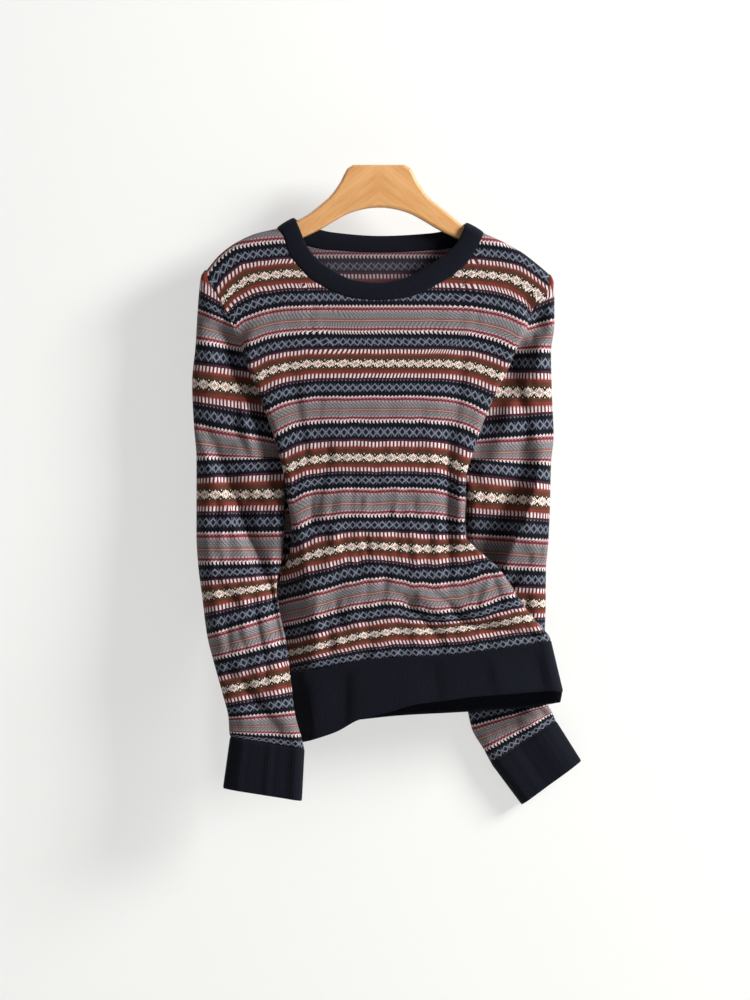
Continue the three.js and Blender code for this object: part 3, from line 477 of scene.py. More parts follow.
def soft_folds(rows, folds, weight):
    """Presses listed folds into rows of points: x0 z0 x1 z1 wide deep, deep being backwards.

    Each line runs down the cloth. A fold is steep on the side that faces left and easy on the other.
    """
    x, z = rows[..., 0], rows[..., 2]
    push = np.zeros(x.shape)
    for line in folds.strip().splitlines():
        x0, z0, x1, z1, wide, deep = (float(word) for word in line.split())
        run = np.array([x1 - x0, z1 - z0])
        t = np.clip(((x - x0) * run[0] + (z - z0) * run[1]) / (run @ run), 0, 1)
        off = np.stack([x - x0 - t * run[0], z - z0 - t * run[1]])
        leans_left = (off[0] * run[1] - off[1] * run[0]) * deep < 0
        far = np.hypot(*off) / (wide * np.where(leans_left, STEEP, EASY))
        fade = END_DEPTH + (1 - END_DEPTH) * np.sin(np.pi * (0.1 + 0.8 * t))
        push += deep * np.exp(-(far ** 2)) * fade
    moved = rows.copy()
    moved[..., 1] += push * weight
    return moved


# The puckers' table of depths, where the part's origin falls in it, and how far its columns sway
PUCKER_CELLS = 90
PUCKER_MIDDLE = 40.5
PUCKER_TOP = 80.5
SWAY = 0.25
SWAY_EVERY = 17


def pucker(x, z, wide, tall, seed):
    """Small soft puckers of a given width and height, forwards and backwards, the same each run."""
    values = np.random.default_rng(seed).uniform(-1, 1, (PUCKER_CELLS, PUCKER_CELLS))
    across = x / wide + PUCKER_MIDDLE + SWAY * np.sin(z / SWAY_EVERY)
    up = z / tall + PUCKER_TOP
    i = np.floor(across).astype(int) % (PUCKER_CELLS - 1)
    j = np.floor(up).astype(int) % (PUCKER_CELLS - 1)
    s = smooth(across - np.floor(across))
    t = smooth(up - np.floor(up))
    low = lerp(values[i, j], values[i + 1, j], s)
    return lerp(low, lerp(values[i, j + 1], values[i + 1, j + 1], s), t)


def puckers(rows, kinds):
    """Puckers of several kinds together, each given as depth, width, height and seed."""
    x, z = rows[..., 0], rows[..., 2]
    return sum(deep * pucker(x, z, wide, tall, seed) for deep, wide, tall, seed in kinds)


def edge_ease(rows, wide, least):
    """1 inside a grid of points, and less within a width of its four edges, to round them off."""
    ease = np.ones(rows.shape[:2])
    for axis in (0, 1):
        step = np.linalg.norm(np.diff(rows, axis=axis), axis=2)
        start = np.zeros_like(ease)
        if axis == 0:
            start[1:] = np.cumsum(step, axis=0)
        else:
            start[:, 1:] = np.cumsum(step, axis=1)
        end = start.max(axis=axis, keepdims=True) - start
        near = np.clip(np.minimum(start, end) / wide, 0, 1)
        ease = np.minimum(ease, least + (1 - least) * np.sqrt(1 - (1 - near) ** 2))
    return ease


# Where a shell's outside, inside and edge strip lie on the square of its own map
MARGIN = 0.004
HALF_WIDE = 0.496
ROWS_TOP = 0.98
STRIP = (0.986, 0.996)
STRIP_END = 0.99


def knit_shell(name, node, material, rows, chart, half, relief=0.0):
    """A thin closed shell of cloth round a grid of points, with its chart in stitches and rows."""
    points = rows.reshape(-1, 3)
    grid = np.arange(len(points)).reshape(rows.shape[:2])
    corners = np.stack([grid[:-1, :-1], grid[:-1, 1:], grid[1:, 1:], grid[1:, :-1]], -1).reshape(-1, 4)
    _, first, place = np.unique(np.round(points * METRE), axis=0, return_index=True, return_inverse=True)
    place = place.reshape(-1)
    faces = np.concatenate([corners[:, [0, 1, 2]], corners[:, [0, 2, 3]]])
    joined = place[faces]
    whole = (joined[:, 0] != joined[:, 1]) & (joined[:, 1] != joined[:, 2]) & (joined[:, 2] != joined[:, 0])
    faces, joined = faces[whole], joined[whole]
    spots = points[first]
    flat = np.cross(spots[joined[:, 1]] - spots[joined[:, 0]], spots[joined[:, 2]] - spots[joined[:, 0]])
    normals = np.zeros_like(spots)
    for k in range(3):
        np.add.at(normals, joined[:, k], flat)
    normals /= np.linalg.norm(normals, axis=1)[:, None]
    count = len(spots)
    start = np.concatenate([joined[:, k] for k in range(3)])
    end = np.concatenate([joined[:, (k + 1) % 3] for k in range(3)])
    start_grid = np.concatenate([faces[:, k] for k in range(3)])
    end_grid = np.concatenate([faces[:, (k + 1) % 3] for k in range(3)])
    free = ~np.isin(start * count + end, end * count + start)
    start, end, start_grid, end_grid = start[free], end[free], start_grid[free], end_grid[free]
    thick = (np.broadcast_to(half, rows.shape[:2]).reshape(-1)[first])[:, None]
    raised = (np.broadcast_to(relief, rows.shape[:2]).reshape(-1)[first])[:, None]
    outer = spots + normals * (thick + raised)
    inner = spots - normals * (thick + raised)
    sides = np.concatenate([
        np.stack([end, start, start + count], 1),
        np.stack([end, start + count, end + count], 1),
    ])
    side_grid = np.concatenate([
        np.stack([end_grid, start_grid, start_grid], 1),
        np.stack([end_grid, start_grid, end_grid], 1),
    ])
    all_faces = np.concatenate([joined, joined[:, ::-1] + count, sides])
    all_grid = np.concatenate([faces, faces[:, ::-1], side_grid])
    mesh = bpy.data.meshes.new(name)
    mesh.from_pydata((np.concatenate([outer, inner]) / METRE).tolist(), [], all_faces.tolist())
    mesh.polygons.foreach_set("use_smooth", np.ones(len(all_faces), dtype=bool))
    chart_map = mesh.uv_layers.new(name="chart")
    stitches = chart.reshape(-1, 2)[all_grid.reshape(-1)]
    chart_map.data.foreach_set("uv", stitches.astype(np.float32).reshape(-1))
    up = np.linspace(MARGIN, ROWS_TOP, rows.shape[0])
    across = np.linspace(MARGIN, HALF_WIDE, rows.shape[1])
    row_share, column_share = np.meshgrid(up, across, indexing="ij")
    own = np.stack([column_share.reshape(-1), row_share.reshape(-1)], 1)
    outside = own[faces.reshape(-1)]
    inside = own[faces[:, ::-1].reshape(-1)] + [0.5, 0]
    strip = np.linspace(MARGIN, STRIP_END, len(start) + 1)
    left, right = strip[:-1], strip[1:]
    low, high = (np.full(len(start), level) for level in STRIP)
    one = np.stack([right, low, left, low, left, high], 1).reshape(-1, 2)
    two = np.stack([right, low, left, high, right, high], 1).reshape(-1, 2)
    own_map = mesh.uv_layers.new(name="OFBake")
    places = np.concatenate([outside, inside, one, two])
    own_map.data.foreach_set("uv", places.astype(np.float32).reshape(-1))
    mark = mesh.attributes.new("inside", "FLOAT", "POINT")
    mark.data.foreach_set("value", np.repeat([0.0, 1.0], count).astype(np.float32))
    mesh.materials.append(material)
    piece = bpy.data.objects.new(name, mesh)
    bpy.context.scene.collection.objects.link(piece)
    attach(piece, "root")
    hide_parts(node)
    return piece


# Stranded lambswool: matt, hairy and warm to the eye, in the chart's colours, with knitted stitches.
# A stitch is 1.03 mm wide and a row 1.05 mm high, as a fine knit's are.
STITCH = 1.03
ROW = 1.05
REPEAT_ROWS = 100
REPEAT_STITCHES = 24
WORD = 12
MOST_STOPS = 30
STITCH_HIGH = 0.0003
CHART_COLOURS = {
    "olive": "#231d13", "brown": "#4b2d20", "rust": "#6c2d24", "tick": "#502626", "plum": "#3e1a28",
    "navy": "#070a14", "lattice": "#080b14", "red": "#6a2932", "darkred": "#55222a", "cream": "#e0d2c4",
    "rose": "#a08283", "white": "#d3c2c2", "pink": "#b98f90", "blue": "#7f838e", "slate": "#454a58",
    "dot": "#837f88", "heather": "#827d7f", "mist": "#6d6c6e", "stone": "#3e4044", "blush": "#9d8284",
    "taupe": "#6f5c59", "madder": "#7a463f", "sand": "#94807b",
}
# Rows of the repeat from the cream band's centre down: first, last, stitches, ground, x and o
# colours. A dot is ground. The lower half of each motif mirrors its upper half.
CHART = """
    0 0 xxoooooooxxx olive cream rose
    1 1 x.xxoooxx.x. olive cream rose
    2 2 .x.xxoxx.x.. olive cream rose
    3 3 ..x.xxx.x... olive cream rose
    4 4 .....x.....x olive cream rose
    5 7 . brown brown brown
    8 10 . rust rust rust
    11 11 xx.. tick pink pink
    12 15 xx.. tick white pink
    16 17 . plum plum plum
    18 18 x... navy dot dot
    19 21 . navy navy navy
    22 22 o...x... lattice blue slate
    23 23 o..xox.. lattice blue slate
    24 24 o.xo.ox. lattice blue slate
    25 25 oxo...ox lattice blue slate
    26 26 xoo...oo lattice blue slate
    27 27 oxo...ox lattice blue slate
    28 28 o.xo.ox. lattice blue slate
    29 29 o..xox.. lattice blue slate
    30 30 o...x... lattice blue slate
    31 34 . navy navy navy
    35 35 x... navy white white
    36 36 xx.x navy white white
    37 37 x.xx red pink pink
    38 38 .x.. darkred pink pink
    39 40 . red red red
    41 42 x... blush stone stone
    43 43 .x.. heather stone stone
    44 44 ..x. heather stone stone
    45 45 ...x mist stone stone
    46 46 x... heather stone stone
    47 47 .x.. mist stone stone
    48 48 ..x. heather stone stone
    49 49 ...x mist stone stone
    50 50 . taupe taupe taupe
    51 51 . madder madder madder
    52 52 . sand sand sand
    53 53 . madder madder madder
    54 54 ...x mist stone stone
    55 55 ..x. heather stone stone
    56 56 .x.. mist stone stone
    57 57 x... heather stone stone
    58 58 ...x mist stone stone
    59 60 ..x. blush stone stone
    61 62 . red red red
    63 63 ..xx darkred pink pink
    64 64 xxx. navy white white
    65 66 xx.. navy white white
    67 67 .x.. navy white white
    68 71 . navy navy navy
    72 72 o...x... lattice blue slate
    73 73 o..xox.. lattice blue slate
    74 74 o.xo.ox. lattice blue slate
    75 75 oxo...ox lattice blue slate
    76 76 xoo...oo lattice blue slate
    77 77 oxo...ox lattice blue slate
    78 78 o.xo.ox. lattice blue slate
    79 79 o..xox.. lattice blue slate
    80 80 o...x... lattice blue slate
    81 82 . navy navy navy
    83 84 . plum plum plum
    85 88 xx.. tick white pink
    89 89 xx.. tick pink pink
    90 91 . rust rust rust
    92 95 . brown brown brown
    96 96 .....x.....x olive cream rose
    97 97 ..x.xxx.x... olive cream rose
    98 98 .x.xxoxx.x.. olive cream rose
    99 99 x.xxoooxx.x. olive cream rose
"""
chart_rows = []
for line in CHART.strip().splitlines():
    first, last, stitches, *names = line.split()
    stitches = stitches * (REPEAT_STITCHES // len(stitches))
    codes = []
    for mark in "xo":
        halves = [stitches[:WORD], stitches[WORD:]]
        counts = [sum(2 ** k for k in range(WORD) if part[k] == mark) for part in halves]
        codes.append([count / 2 ** WORD for count in counts] + [0, 1])
    entry = [linear(CHART_COLOURS[name]) for name in names] + codes
    chart_rows += [entry] * (int(last) - int(first) + 1)


def by_row(tree, row, column):
    """A colour that each chart row holds, read from as few colour ramps as hold all its changes."""
    shades = [entry[column] for entry in chart_rows]
    runs = [k for k in range(REPEAT_ROWS) if k == 0 or shades[k] != shades[k - 1]]
    centre = add(tree, "Math", {0: row, 1: 0.5}, operation="ADD")
    place = add(tree, "Math", {0: centre, 1: 1 / REPEAT_ROWS}, operation="MULTIPLY")
    found = None
    for k in range(0, len(runs), MOST_STOPS):
        part = runs[k:k + MOST_STOPS]
        ramp = add(tree, "ValToRGB", {0: place})
        ramp.color_ramp.interpolation = "CONSTANT"
        stops = ramp.color_ramp.elements
        stops[0].color = shades[part[0]]
        stops[1].position = 1.0
        stops[1].color = shades[part[-1]]
        for start in part[1:]:
            stops.new(start / REPEAT_ROWS).color = shades[start]
        if found is None:
            found = ramp
        else:
            past = add(tree, "Math", {0: row, 1: part[0] - 0.5}, operation="GREATER_THAN")
            found = add(tree, "MixRGB", {"Fac": past, "Color1": found, "Color2": ramp})
    return found


def in_stitch(tree, codes, bit, second):
    """1 where a row's code has the stitch's bit set."""
    parts = add(tree, "SeparateColor", {0: codes})
    code = add(tree, "Mix", {0: second, 2: parts.outputs["Red"], 3: parts.outputs["Green"]})
    shifted = add(tree, "Math", {0: code, 1: bit}, operation="MULTIPLY")
    over = add(tree, "Math", {0: shifted, 1: 0.01}, operation="ADD")
    whole = add(tree, "Math", {0: over}, operation="FLOOR")
    return add(tree, "Math", {0: whole, 1: 2.0}, operation="FLOORED_MODULO")


def knit_bump(tree, chart_u, chart_v, strength):
    """Raised V-shaped stitches, one to each place of the chart."""
    inside = add(tree, "Math", {0: chart_u}, operation="FRACT")
    offset = add(tree, "Math", {0: inside, 1: 0.5}, operation="SUBTRACT")
    leg = add(tree, "Math", {0: offset}, operation="ABSOLUTE")
    lean = add(tree, "Math", {0: leg, 1: 1.1, 2: chart_v}, operation="MULTIPLY_ADD")
    leg_turn = add(tree, "Math", {0: leg, 1: 2 * math.pi}, operation="MULTIPLY")
    across = add(tree, "Math", {0: leg_turn}, operation="SINE")
    lean_turn = add(tree, "Math", {0: lean, 1: 2 * math.pi}, operation="MULTIPLY")
    down = add(tree, "Math", {0: lean_turn}, operation="COSINE")
    swell = add(tree, "Math", {0: down, 1: 0.5, 2: 0.5}, operation="MULTIPLY_ADD")
    height = add(tree, "Math", {0: across, 1: swell}, operation="MULTIPLY")
    return add(tree, "Bump", {"Height": height, "Strength": strength, "Distance": STITCH_HIGH})


patterned, tree, shader = new_material("stranded_lambswool")
chart_uv = add(tree, "UVMap", uv_map="chart")
split = add(tree, "SeparateXYZ", {0: chart_uv})
chart_u, chart_v = split.outputs["X"], split.outputs["Y"]
down = add(tree, "Math", {0: 0.5, 1: chart_v}, operation="SUBTRACT")
whole_row = add(tree, "Math", {0: down}, operation="FLOOR")
row = add(tree, "Math", {0: whole_row, 1: float(REPEAT_ROWS)}, operation="FLOORED_MODULO")
whole_stitch = add(tree, "Math", {0: chart_u}, operation="FLOOR")
stitch = add(tree, "Math", {0: whole_stitch, 1: float(REPEAT_STITCHES)}, operation="FLOORED_MODULO")
in_word = add(tree, "Math", {0: stitch, 1: float(WORD)}, operation="FLOORED_MODULO")
second = add(tree, "Math", {0: stitch, 1: WORD - 0.5}, operation="GREATER_THAN")
left_over = add(tree, "Math", {0: float(WORD), 1: in_word}, operation="SUBTRACT")
power = add(tree, "Math", {0: 2.0, 1: left_over}, operation="POWER")
bit = add(tree, "Math", {0: power}, operation="ROUND")
is_x = in_stitch(tree, by_row(tree, row, 3), bit, second)
is_o = in_stitch(tree, by_row(tree, row, 4), bit, second)
with_x = add(tree, "MixRGB", {"Fac": is_x, "Color1": by_row(tree, row, 0), "Color2": by_row(tree, row, 1)})
with_o = add(tree, "MixRGB", {"Fac": is_o, "Color1": with_x, "Color2": by_row(tree, row, 2)})
# Spun yarn is never one even colour: it is lighter and darker from stitch to stitch.
yarn = add(tree, "TexNoise", {"Vector": chart_uv, "Scale": 0.9, "Detail": 2.0})
shade = add(tree, "MapRange", {0: yarn, 1: 0.25, 2: 0.75, 3: 0.7, 4: 1.32})
spun = add(tree, "VectorMath", {0: with_o, 1: shade}, operation="MULTIPLY")
# On the inside the floats of the other yarns mute the pattern, and the dark grey mixed in on every inside
# face is also painted shade of the garment's hollow inside.
hidden = add(tree, "Attribute", attribute_name="inside")
floats_and_painted_shade = add(tree, "Math", {0: hidden.outputs["Fac"], 1: 0.5}, operation="MULTIPLY")
wool = add(tree, "MixRGB", {"Fac": floats_and_painted_shade, "Color1": spun, "Color2": linear("#3d343b")})
tree.links.new(wool.outputs[0], shader.inputs["Base Color"])
tree.links.new(knit_bump(tree, chart_u, chart_v, 0.5).outputs[0], shader.inputs["Normal"])
shader.inputs["Roughness"].default_value = 0.92
shader.inputs["Specular IOR Level"].default_value = 0.15
shader.inputs["Sheen Weight"].default_value = 0.03
shader.inputs["Sheen Roughness"].default_value = 0.5

# Half the cloth's thickness, how it thins at the seams, and the course of the cream band's centre
CLOTH_HALF = 1.0
SEAM_WIDE = 3.0
SEAM_LEAST = 0.45
CREAM_V = 32.0
BACK_LOW = 16.0
BACK_SPAN = 120
# Puckers as depth, width, height and seed; they grow below the chest and sway the courses a little
BODY_PUCKERS = ((2.0, 9, 34, 7), (0.9, 5.5, 13, 8))
COURSE_SWAY = ((1.0, 11, 40, 11),)
SWAY_ROWS = 1.2
PUCKERS_FROM = -250
PUCKERS_SPAN = 200
TIP_EASE = 40
ARCH_STEPS = ARCH * (1 - np.cos(np.linspace(0, np.pi / 2, 9)[::-1]))
BODY_ROWS = np.concatenate([
    np.linspace(0, UNDERARM_V, 98),
    np.linspace(UNDERARM_V, TIP_V - ARCH_STEPS[0], 82)[1:],
    TIP_V - ARCH_STEPS[1:],
])
side_count = sum(SIDE_STEPS)
body = {}
for panel, neck in (("front", front_neck), ("back", back_neck)):
    body[panel] = panel_rows(panel, neck)
FRONT_FOLDS = """
    -90 -468 -88 -600 14 9
    -70 -474 -72 -592 10 -3
    79 -300 80 -480 8 6
    92 -320 92 -450 9 -3
    24 -488 72 -541 9 5.5
    40 -484 90 -530 8 -3
    66 -488 108 -527 7 5
    92 -521 176 -534 6 5
    96 -509 170 -520 8 -4
    -58 -330 -82 -450 12 3.5
    -40 -345 -62 -470 11 -2.5
    -14 -430 -58 -560 13 4
    -36 -478 -52 -575 9 -3
    30 -380 12 -470 11 2.5
    -98 -240 -82 -330 10 3
    96 -220 84 -330 9 3
    -8 -545 -22 -585 9 2.5
    60 -400 52 -462 8 2
    -66 -270 -72 -330 7 1.5
"""
BACK_FOLDS = """
    -60 -250 -70 -420 12 -2
    66 -300 58 -470 12 -2
    0 -420 20 -560 14 -1.6
    90 -470 130 -560 9 -2
"""
for panel, folds in (("front", FRONT_FOLDS), ("back", BACK_FOLDS)):
    rows = body[panel]
    columns = np.arange(rows.shape[1])
    from_seam = np.minimum(columns, columns[::-1])
    weight = smooth(from_seam / side_count) * smooth((TIP_V - BODY_ROWS) / TIP_EASE)[:, None]
    shaped = soft_folds(rows, folds, weight)
    low = smooth((PUCKERS_FROM - rows[..., 2]) / PUCKERS_SPAN)
    shaped[..., 1] += puckers(rows, BODY_PUCKERS) * weight * lerp(0.3, 1.0, low)
    waver = weight * lerp(0.5, 1.0, low) * puckers(rows, COURSE_SWAY)
    course = course_at(rows[..., 0], rows[..., 2]) + SWAY_ROWS * waver
    if panel == "back":
        seam_course = course[BODY_ROWS <= UNDERARM_V][-1]
        above = smooth((BODY_ROWS - UNDERARM_V) / BACK_SPAN)[:, None]
        course = course + lerp(UNDERARM_V - seam_course, BACK_LOW, above)
        course = np.where(BODY_ROWS[:, None] <= UNDERARM_V, BODY_ROWS[:, None], course)
    else:
        held = np.clip(columns, side_count, columns[-1] - side_count)
        course = course[:, held]
    across = along_row(rows[..., :2])
    chart = np.stack([across / STITCH, (course - CREAM_V) / ROW], axis=2)
    half = CLOTH_HALF * edge_ease(rows, SEAM_WIDE, SEAM_LEAST)
    if panel == "back":
        shaped, chart, half = shaped[:, ::-1], chart[:, ::-1], half[:, ::-1]
    knit_shell(panel + "_panel", panel, patterned, shaped, chart, half)


# Sleeves
# Each sleeve is knitted flat in the same wool, closed along its underarm and set into the armhole.
# It hangs flat and folded lengthways: the left one lies in front of the body's edge, and the right
# one goes behind the body's swung-out side.
armhole = table("body sleeve", """
    256 333
    334 402
    383 438
    413 467
    440 490
    477 500
""")
sleeves = {}
sleeves["right_sleeve"] = table("v outX outZ inX inZ foldX step front back", """
    500 198 -121 99 -335 198 0 -8 8
    497 202 -128 99 -335 198 0 -12 11
    491 204 -143 99 -335 198 0 -13 12
    465 206 -169 99 -335 198 0 -13 12
    436 208 -205 99 -335 198 0 -14 9
    402 212 -249 99 -335 198 0 -14 9
    364 210 -296 99 -335 198 0 -14 9
    333 207 -335 99 -335 190 3 -14 9
    297 207 -376 108 -375 175 6 -14 8
    258 207 -421 109 -420 158 9 -15 6
    228 205 -454 112 -453 146 10 -18 2
    192 200 -491 117 -479 130 10 -24 -5
    154 194 -535 113 -511 117 8 -33 -11
    123 187 -562 106 -543 108 2 -40 -17
    87 177 -597 101 -581 101 0 -45 -23
    48 169 -628 96 -622 97 0 -50 -28
    18 168 -644 89 -648 89 0 -52 -29
    0 167 -649 85 -663 85 0 -52 -30
""")
sleeves["left_sleeve"] = table("v outX outZ inX inZ foldX step front back", """
    500 195 -126 90 -335 190 0 -8 8
    497 198 -134 90 -335 190 0 -12 11
    491 199 -150 90 -335 190 0 -13 12
    465 199 -181 90 -335 190 0 -13 12
    436 195 -215 90 -335 190 0 -14 9
    402 196 -260 90 -335 190 0 -14 9
    364 198 -308 90 -335 186 0 -14 9
    333 195 -341 90 -335 180 3 -14 9
    297 194 -384 100 -377 171 8 -12 9
    258 193 -429 100 -422 153 10 8 26
    228 191 -462 108 -457 140 8 25 43
    192 191 -501 113 -498 130 3 31 49
    154 190 -537 113 -542 120 0 32 50
    123 191 -569 109 -573 110 0 33 51
    87 192 -596 101 -605 101 0 33 51
    48 194 -618 107 -643 107 0 33 51
    18 199 -628 122 -670 122 0 32 51
    0 203 -637 130 -685 130 0 32 51
""")
UNDERARM_SLEEVE_V = 333
SLEEVE_TURN = 12
FIRST_TURN = 4
GROW = 45
SLEEVE_EDGE = 20
SLEEVE_SPREAD = 30
CLEAR_OF_EDGE = 3
FOLD_WIDE = 5
SLEEVE_STEPS = (8, 30, 12)
SLEEVE_CREAM_V = 87.0
SLEEVE_PUCKERS = ((1.8, 11, 26, 9), (0.8, 6, 12, 10))
COLUMN_EASE = 6
PUCKER_EASE = 60


def sleeve_half(start, turn, length, line, plateau, reach, back):
    """Half of a sleeve's row, from its seam or inner edge to its outer edge, as out, deep, z."""
    room = line["out"] - start[0]
    path = walk([(min(length, room / 3), -turn, SLEEVE_STEPS[0])], turn)
    turned = np.stack([start[0] + path[:, 0], start[1] + back * path[:, 1]], axis=1)
    last = turned[-1]
    wide = min(SLEEVE_EDGE, room / 3)
    round_from = line["out"] - wide
    ahead = line["step"] if back > 0 else 0

    def depth_at(place):
        level = lerp(last[1], plateau, smooth((place - max(reach, last[0])) / SLEEVE_SPREAD))
        return level - ahead * smooth((place - line["fold"]) / FOLD_WIDE + 0.5)

    flat = lerp(last[0], round_from, np.arange(1, SLEEVE_STEPS[1] + 1) / SLEEVE_STEPS[1])
    angle = np.pi / 2 * np.arange(1, SLEEVE_STEPS[2] + 1) / SLEEVE_STEPS[2]
    edge = round_from + wide * np.sin(angle)
    place = np.concatenate([turned[:, 0], flat, edge])
    deep = np.concatenate([turned[:, 1], depth_at(flat), lerp(line["middle"], depth_at(edge), np.cos(angle))])
    z = lerp(line["inZ"], line["outZ"], (place - start[0]) / room)
    return np.stack([place, deep, z], axis=1)


def sleeve_row(v, side, sizes, joined=None):
    """A sleeve's row, from its back seam or inner edge round its outer edge to its front one."""
    at = {name: float(read(v)) for name, read in sizes.items()}
    middle = (at["front"] + at["back"]) / 2
    line = {"out": at["outX"], "outZ": at["outZ"], "middle": middle, "fold": at["foldX"], "step": at["step"]}
    halves = []
    for name, back in (("front", 1), ("back", -1)):
        if joined:
            x, y, z = joined[name][-1]
            reach = outline[name + side[0]](z) + CLEAR_OF_EDGE
            start = (side[1] * x, y)
            halves.append(sleeve_half(
                start, joined["heading"][name], SLEEVE_TURN, {**line, "inZ": z}, at[name], reach, back))
        else:
            grown = float(smooth((UNDERARM_SLEEVE_V - v) / GROW))
            length = lerp(FIRST_TURN, abs(middle - at[name]) * math.pi / 2, grown)
            start = (at["inX"], middle * grown)
            halves.append(sleeve_half(
                start, -math.pi / 2, length, {**line, "inZ": at["inZ"]}, at[name], 0, back))
    front, back = halves
    ring = np.concatenate([back, front[-2::-1]])
    ring[:, 0] *= side[1]
    return ring if side is LEFT else ring[::-1]


SLEEVE_LOW = np.linspace(0, UNDERARM_SLEEVE_V, 128)[:-1]
RIGHT_SLEEVE_FOLDS = """
    -198 -294 -118 -494 9 6.5
    -184 -306 -104 -530 18 6
    -210 -300 -132 -494 10 -3.5
    -118 -494 -97 -610 9 6.5
    -143 -492 -127 -573 8 5
    -158 -488 -142 -573 8 -2.5
    -176 -150 -158 -330 13 4
    -196 -330 -172 -470 12 -2.5
    -158 -585 -112 -640 8 3.5
    -186 -470 -150 -510 8 3.5
    -170 -360 -130 -390 9 2.5
    -180 -560 -136 -604 8 3
    -186 -380 -180 -450 7 2
    -160 -300 -140 -350 8 2.5
"""
LEFT_SLEEVE_FOLDS = """
    185 -346 142 -462 10 -6
    168 -330 126 -466 16 12
    150 -190 172 -330 12 4
    190 -370 182 -470 8 2.5
    172 -450 140 -500 9 3.5
    168 -505 124 -562 10 3.5
    150 -600 196 -632 8 5
    138 -615 186 -645 8 -3
    158 -262 188 -300 10 2.5
    176 -520 170 -590 8 2.5
"""
sleeve_grids = {}
sleeve_folds = (("right_sleeve", LEFT, RIGHT_SLEEVE_FOLDS), ("left_sleeve", RIGHT, LEFT_SLEEVE_FOLDS))
for name, side, folds in sleeve_folds:
    rows = [sleeve_row(v, side, sleeves[name]) for v in SLEEVE_LOW]
    row_v = list(SLEEVE_LOW)
    for v in BODY_ROWS[BODY_ROWS >= UNDERARM_V]:
        joined = body_side(v, side)
        row_v.append(float(armhole["sleeve"](v)))
        if v < TIP_V:
            rows.append(sleeve_row(row_v[-1], side, sleeves[name], joined))
        else:
            rows.append(np.repeat(joined["front"][-1:], len(rows[0]), axis=0))
    rows = np.array(rows)
    row_v = np.array(row_v)
    columns = np.arange(rows.shape[1])
    middle = rows.shape[1] // 2
    in_front = columns - middle if side is LEFT else middle - columns
    from_seam = np.minimum(columns, columns[::-1])
    fade = smooth(in_front / COLUMN_EASE) * smooth(from_seam / COLUMN_EASE)
    below_tip = (rows[-1, 0, 2] - rows[:, middle, 2])[:, None]
    shaped = soft_folds(rows, folds, fade * smooth(below_tip / TIP_EASE))
    shaped[..., 1] += puckers(rows, SLEEVE_PUCKERS) * fade * smooth(below_tip / PUCKER_EASE)
    across = along_row(rows)
    course = ((row_v - SLEEVE_CREAM_V) / ROW)[:, None]
    chart = np.stack([across / STITCH, 0 * across + course], axis=2)
    half = CLOTH_HALF * edge_ease(rows, SEAM_WIDE, SEAM_LEAST)
    knit_shell(name + "_tube", name, patterned, shaped, chart, half)
    sleeve_grids[name] = shaped


# Cuffs
# Each cuff is a short tube of fine navy rib, knitted on at the sleeve's end and a little thicker
# than it. The rib stands in narrow columns that run straight to the free end.
# The real ribs stand about 2 mm apart; they are drawn 3 mm apart so that they still show.
RIB_PITCH = 3.0
RIB_HIGH = 0.15
RIB_STEPS = 4
RIB_HALF = 1.25
RIB_EDGE = 2.0
RIB_EDGE_LEAST = 0.5
CUFF_END = {
    "right_cuff": {"outX": 175, "outZ": -707, "inX": 88, "inZ": -721, "front": -52, "back": -32},
    "left_cuff": {"outX": 232, "outZ": -683, "inX": 165, "inZ": -732, "front": 31, "back": 51},
}
CUFF_ROWS = 26


def even_ring(ring):
    """A ring of points spread evenly, a whole number of ribs round, with each one's distance."""
    far = np.concatenate([[0], np.cumsum(np.linalg.norm(np.diff(ring, axis=0), axis=1))])
    ribs = round(far[-1] / RIB_PITCH)
    count = RIB_STEPS * ribs
    place = np.linspace(0, far[-1], count + 1)
    spread = np.stack([np.interp(place, far, ring[:, k]) for k in range(3)], axis=1)
    return spread, np.arange(count + 1) * ribs / count


navy, tree, shader = new_material("navy_rib_wool")
chart_uv = add(tree, "UVMap", uv_map="chart")
split = add(tree, "SeparateXYZ", {0: chart_uv})
yarn = add(tree, "TexNoise", {"Vector": chart_uv, "Scale": 0.8, "Detail": 3.0})
tone = add(tree, "ValToRGB", {0: yarn})
tone.color_ramp.elements[0].position = 0.3
tone.color_ramp.elements[0].color = linear("#05070f")
tone.color_ramp.elements[1].position = 0.7
tone.color_ramp.elements[1].color = linear("#0b0e1b")
tree.links.new(tone.outputs[0], shader.inputs["Base Color"])
bump = knit_bump(tree, split.outputs["X"], split.outputs["Y"], 0.4)
tree.links.new(bump.outputs[0], shader.inputs["Normal"])
shader.inputs["Roughness"].default_value = 0.9
shader.inputs["Specular IOR Level"].default_value = 0.15
shader.inputs["Sheen Weight"].default_value = 0.03
shader.inputs["Sheen Roughness"].default_value = 0.5

for name, side in (("right_cuff", LEFT), ("left_cuff", RIGHT)):
    top, ribs = even_ring(sleeve_grids[name.replace("cuff", "sleeve")][0])
    end = CUFF_END[name]
    out = side[1] * top[:, 0]
    share = (out - out.min()) / (out.max() - out.min())
    deep = (top[:, 1] - top[:, 1].min()) / (top[:, 1].max() - top[:, 1].min())
    low = np.stack([
        side[1] * lerp(end["inX"], end["outX"], share),
        lerp(end["front"], end["back"], deep),
        lerp(end["inZ"], end["outZ"], share),
    ], axis=1)
    t = np.linspace(0, 1, CUFF_ROWS + 1)[:, None, None]
    rows = lerp(low, top, t)
    length = np.linalg.norm(low - top, axis=1).mean()
    chart = np.stack(np.broadcast_arrays(ribs * RIB_PITCH / STITCH, t[..., 0] * length / ROW), axis=2)
    half = RIB_HALF * edge_ease(rows, RIB_EDGE, RIB_EDGE_LEAST)
    raised = RIB_HIGH * np.cos(2 * np.pi * ribs) * half / RIB_HALF
    knit_shell(name + "_rib", name, navy, rows, chart, half, raised)


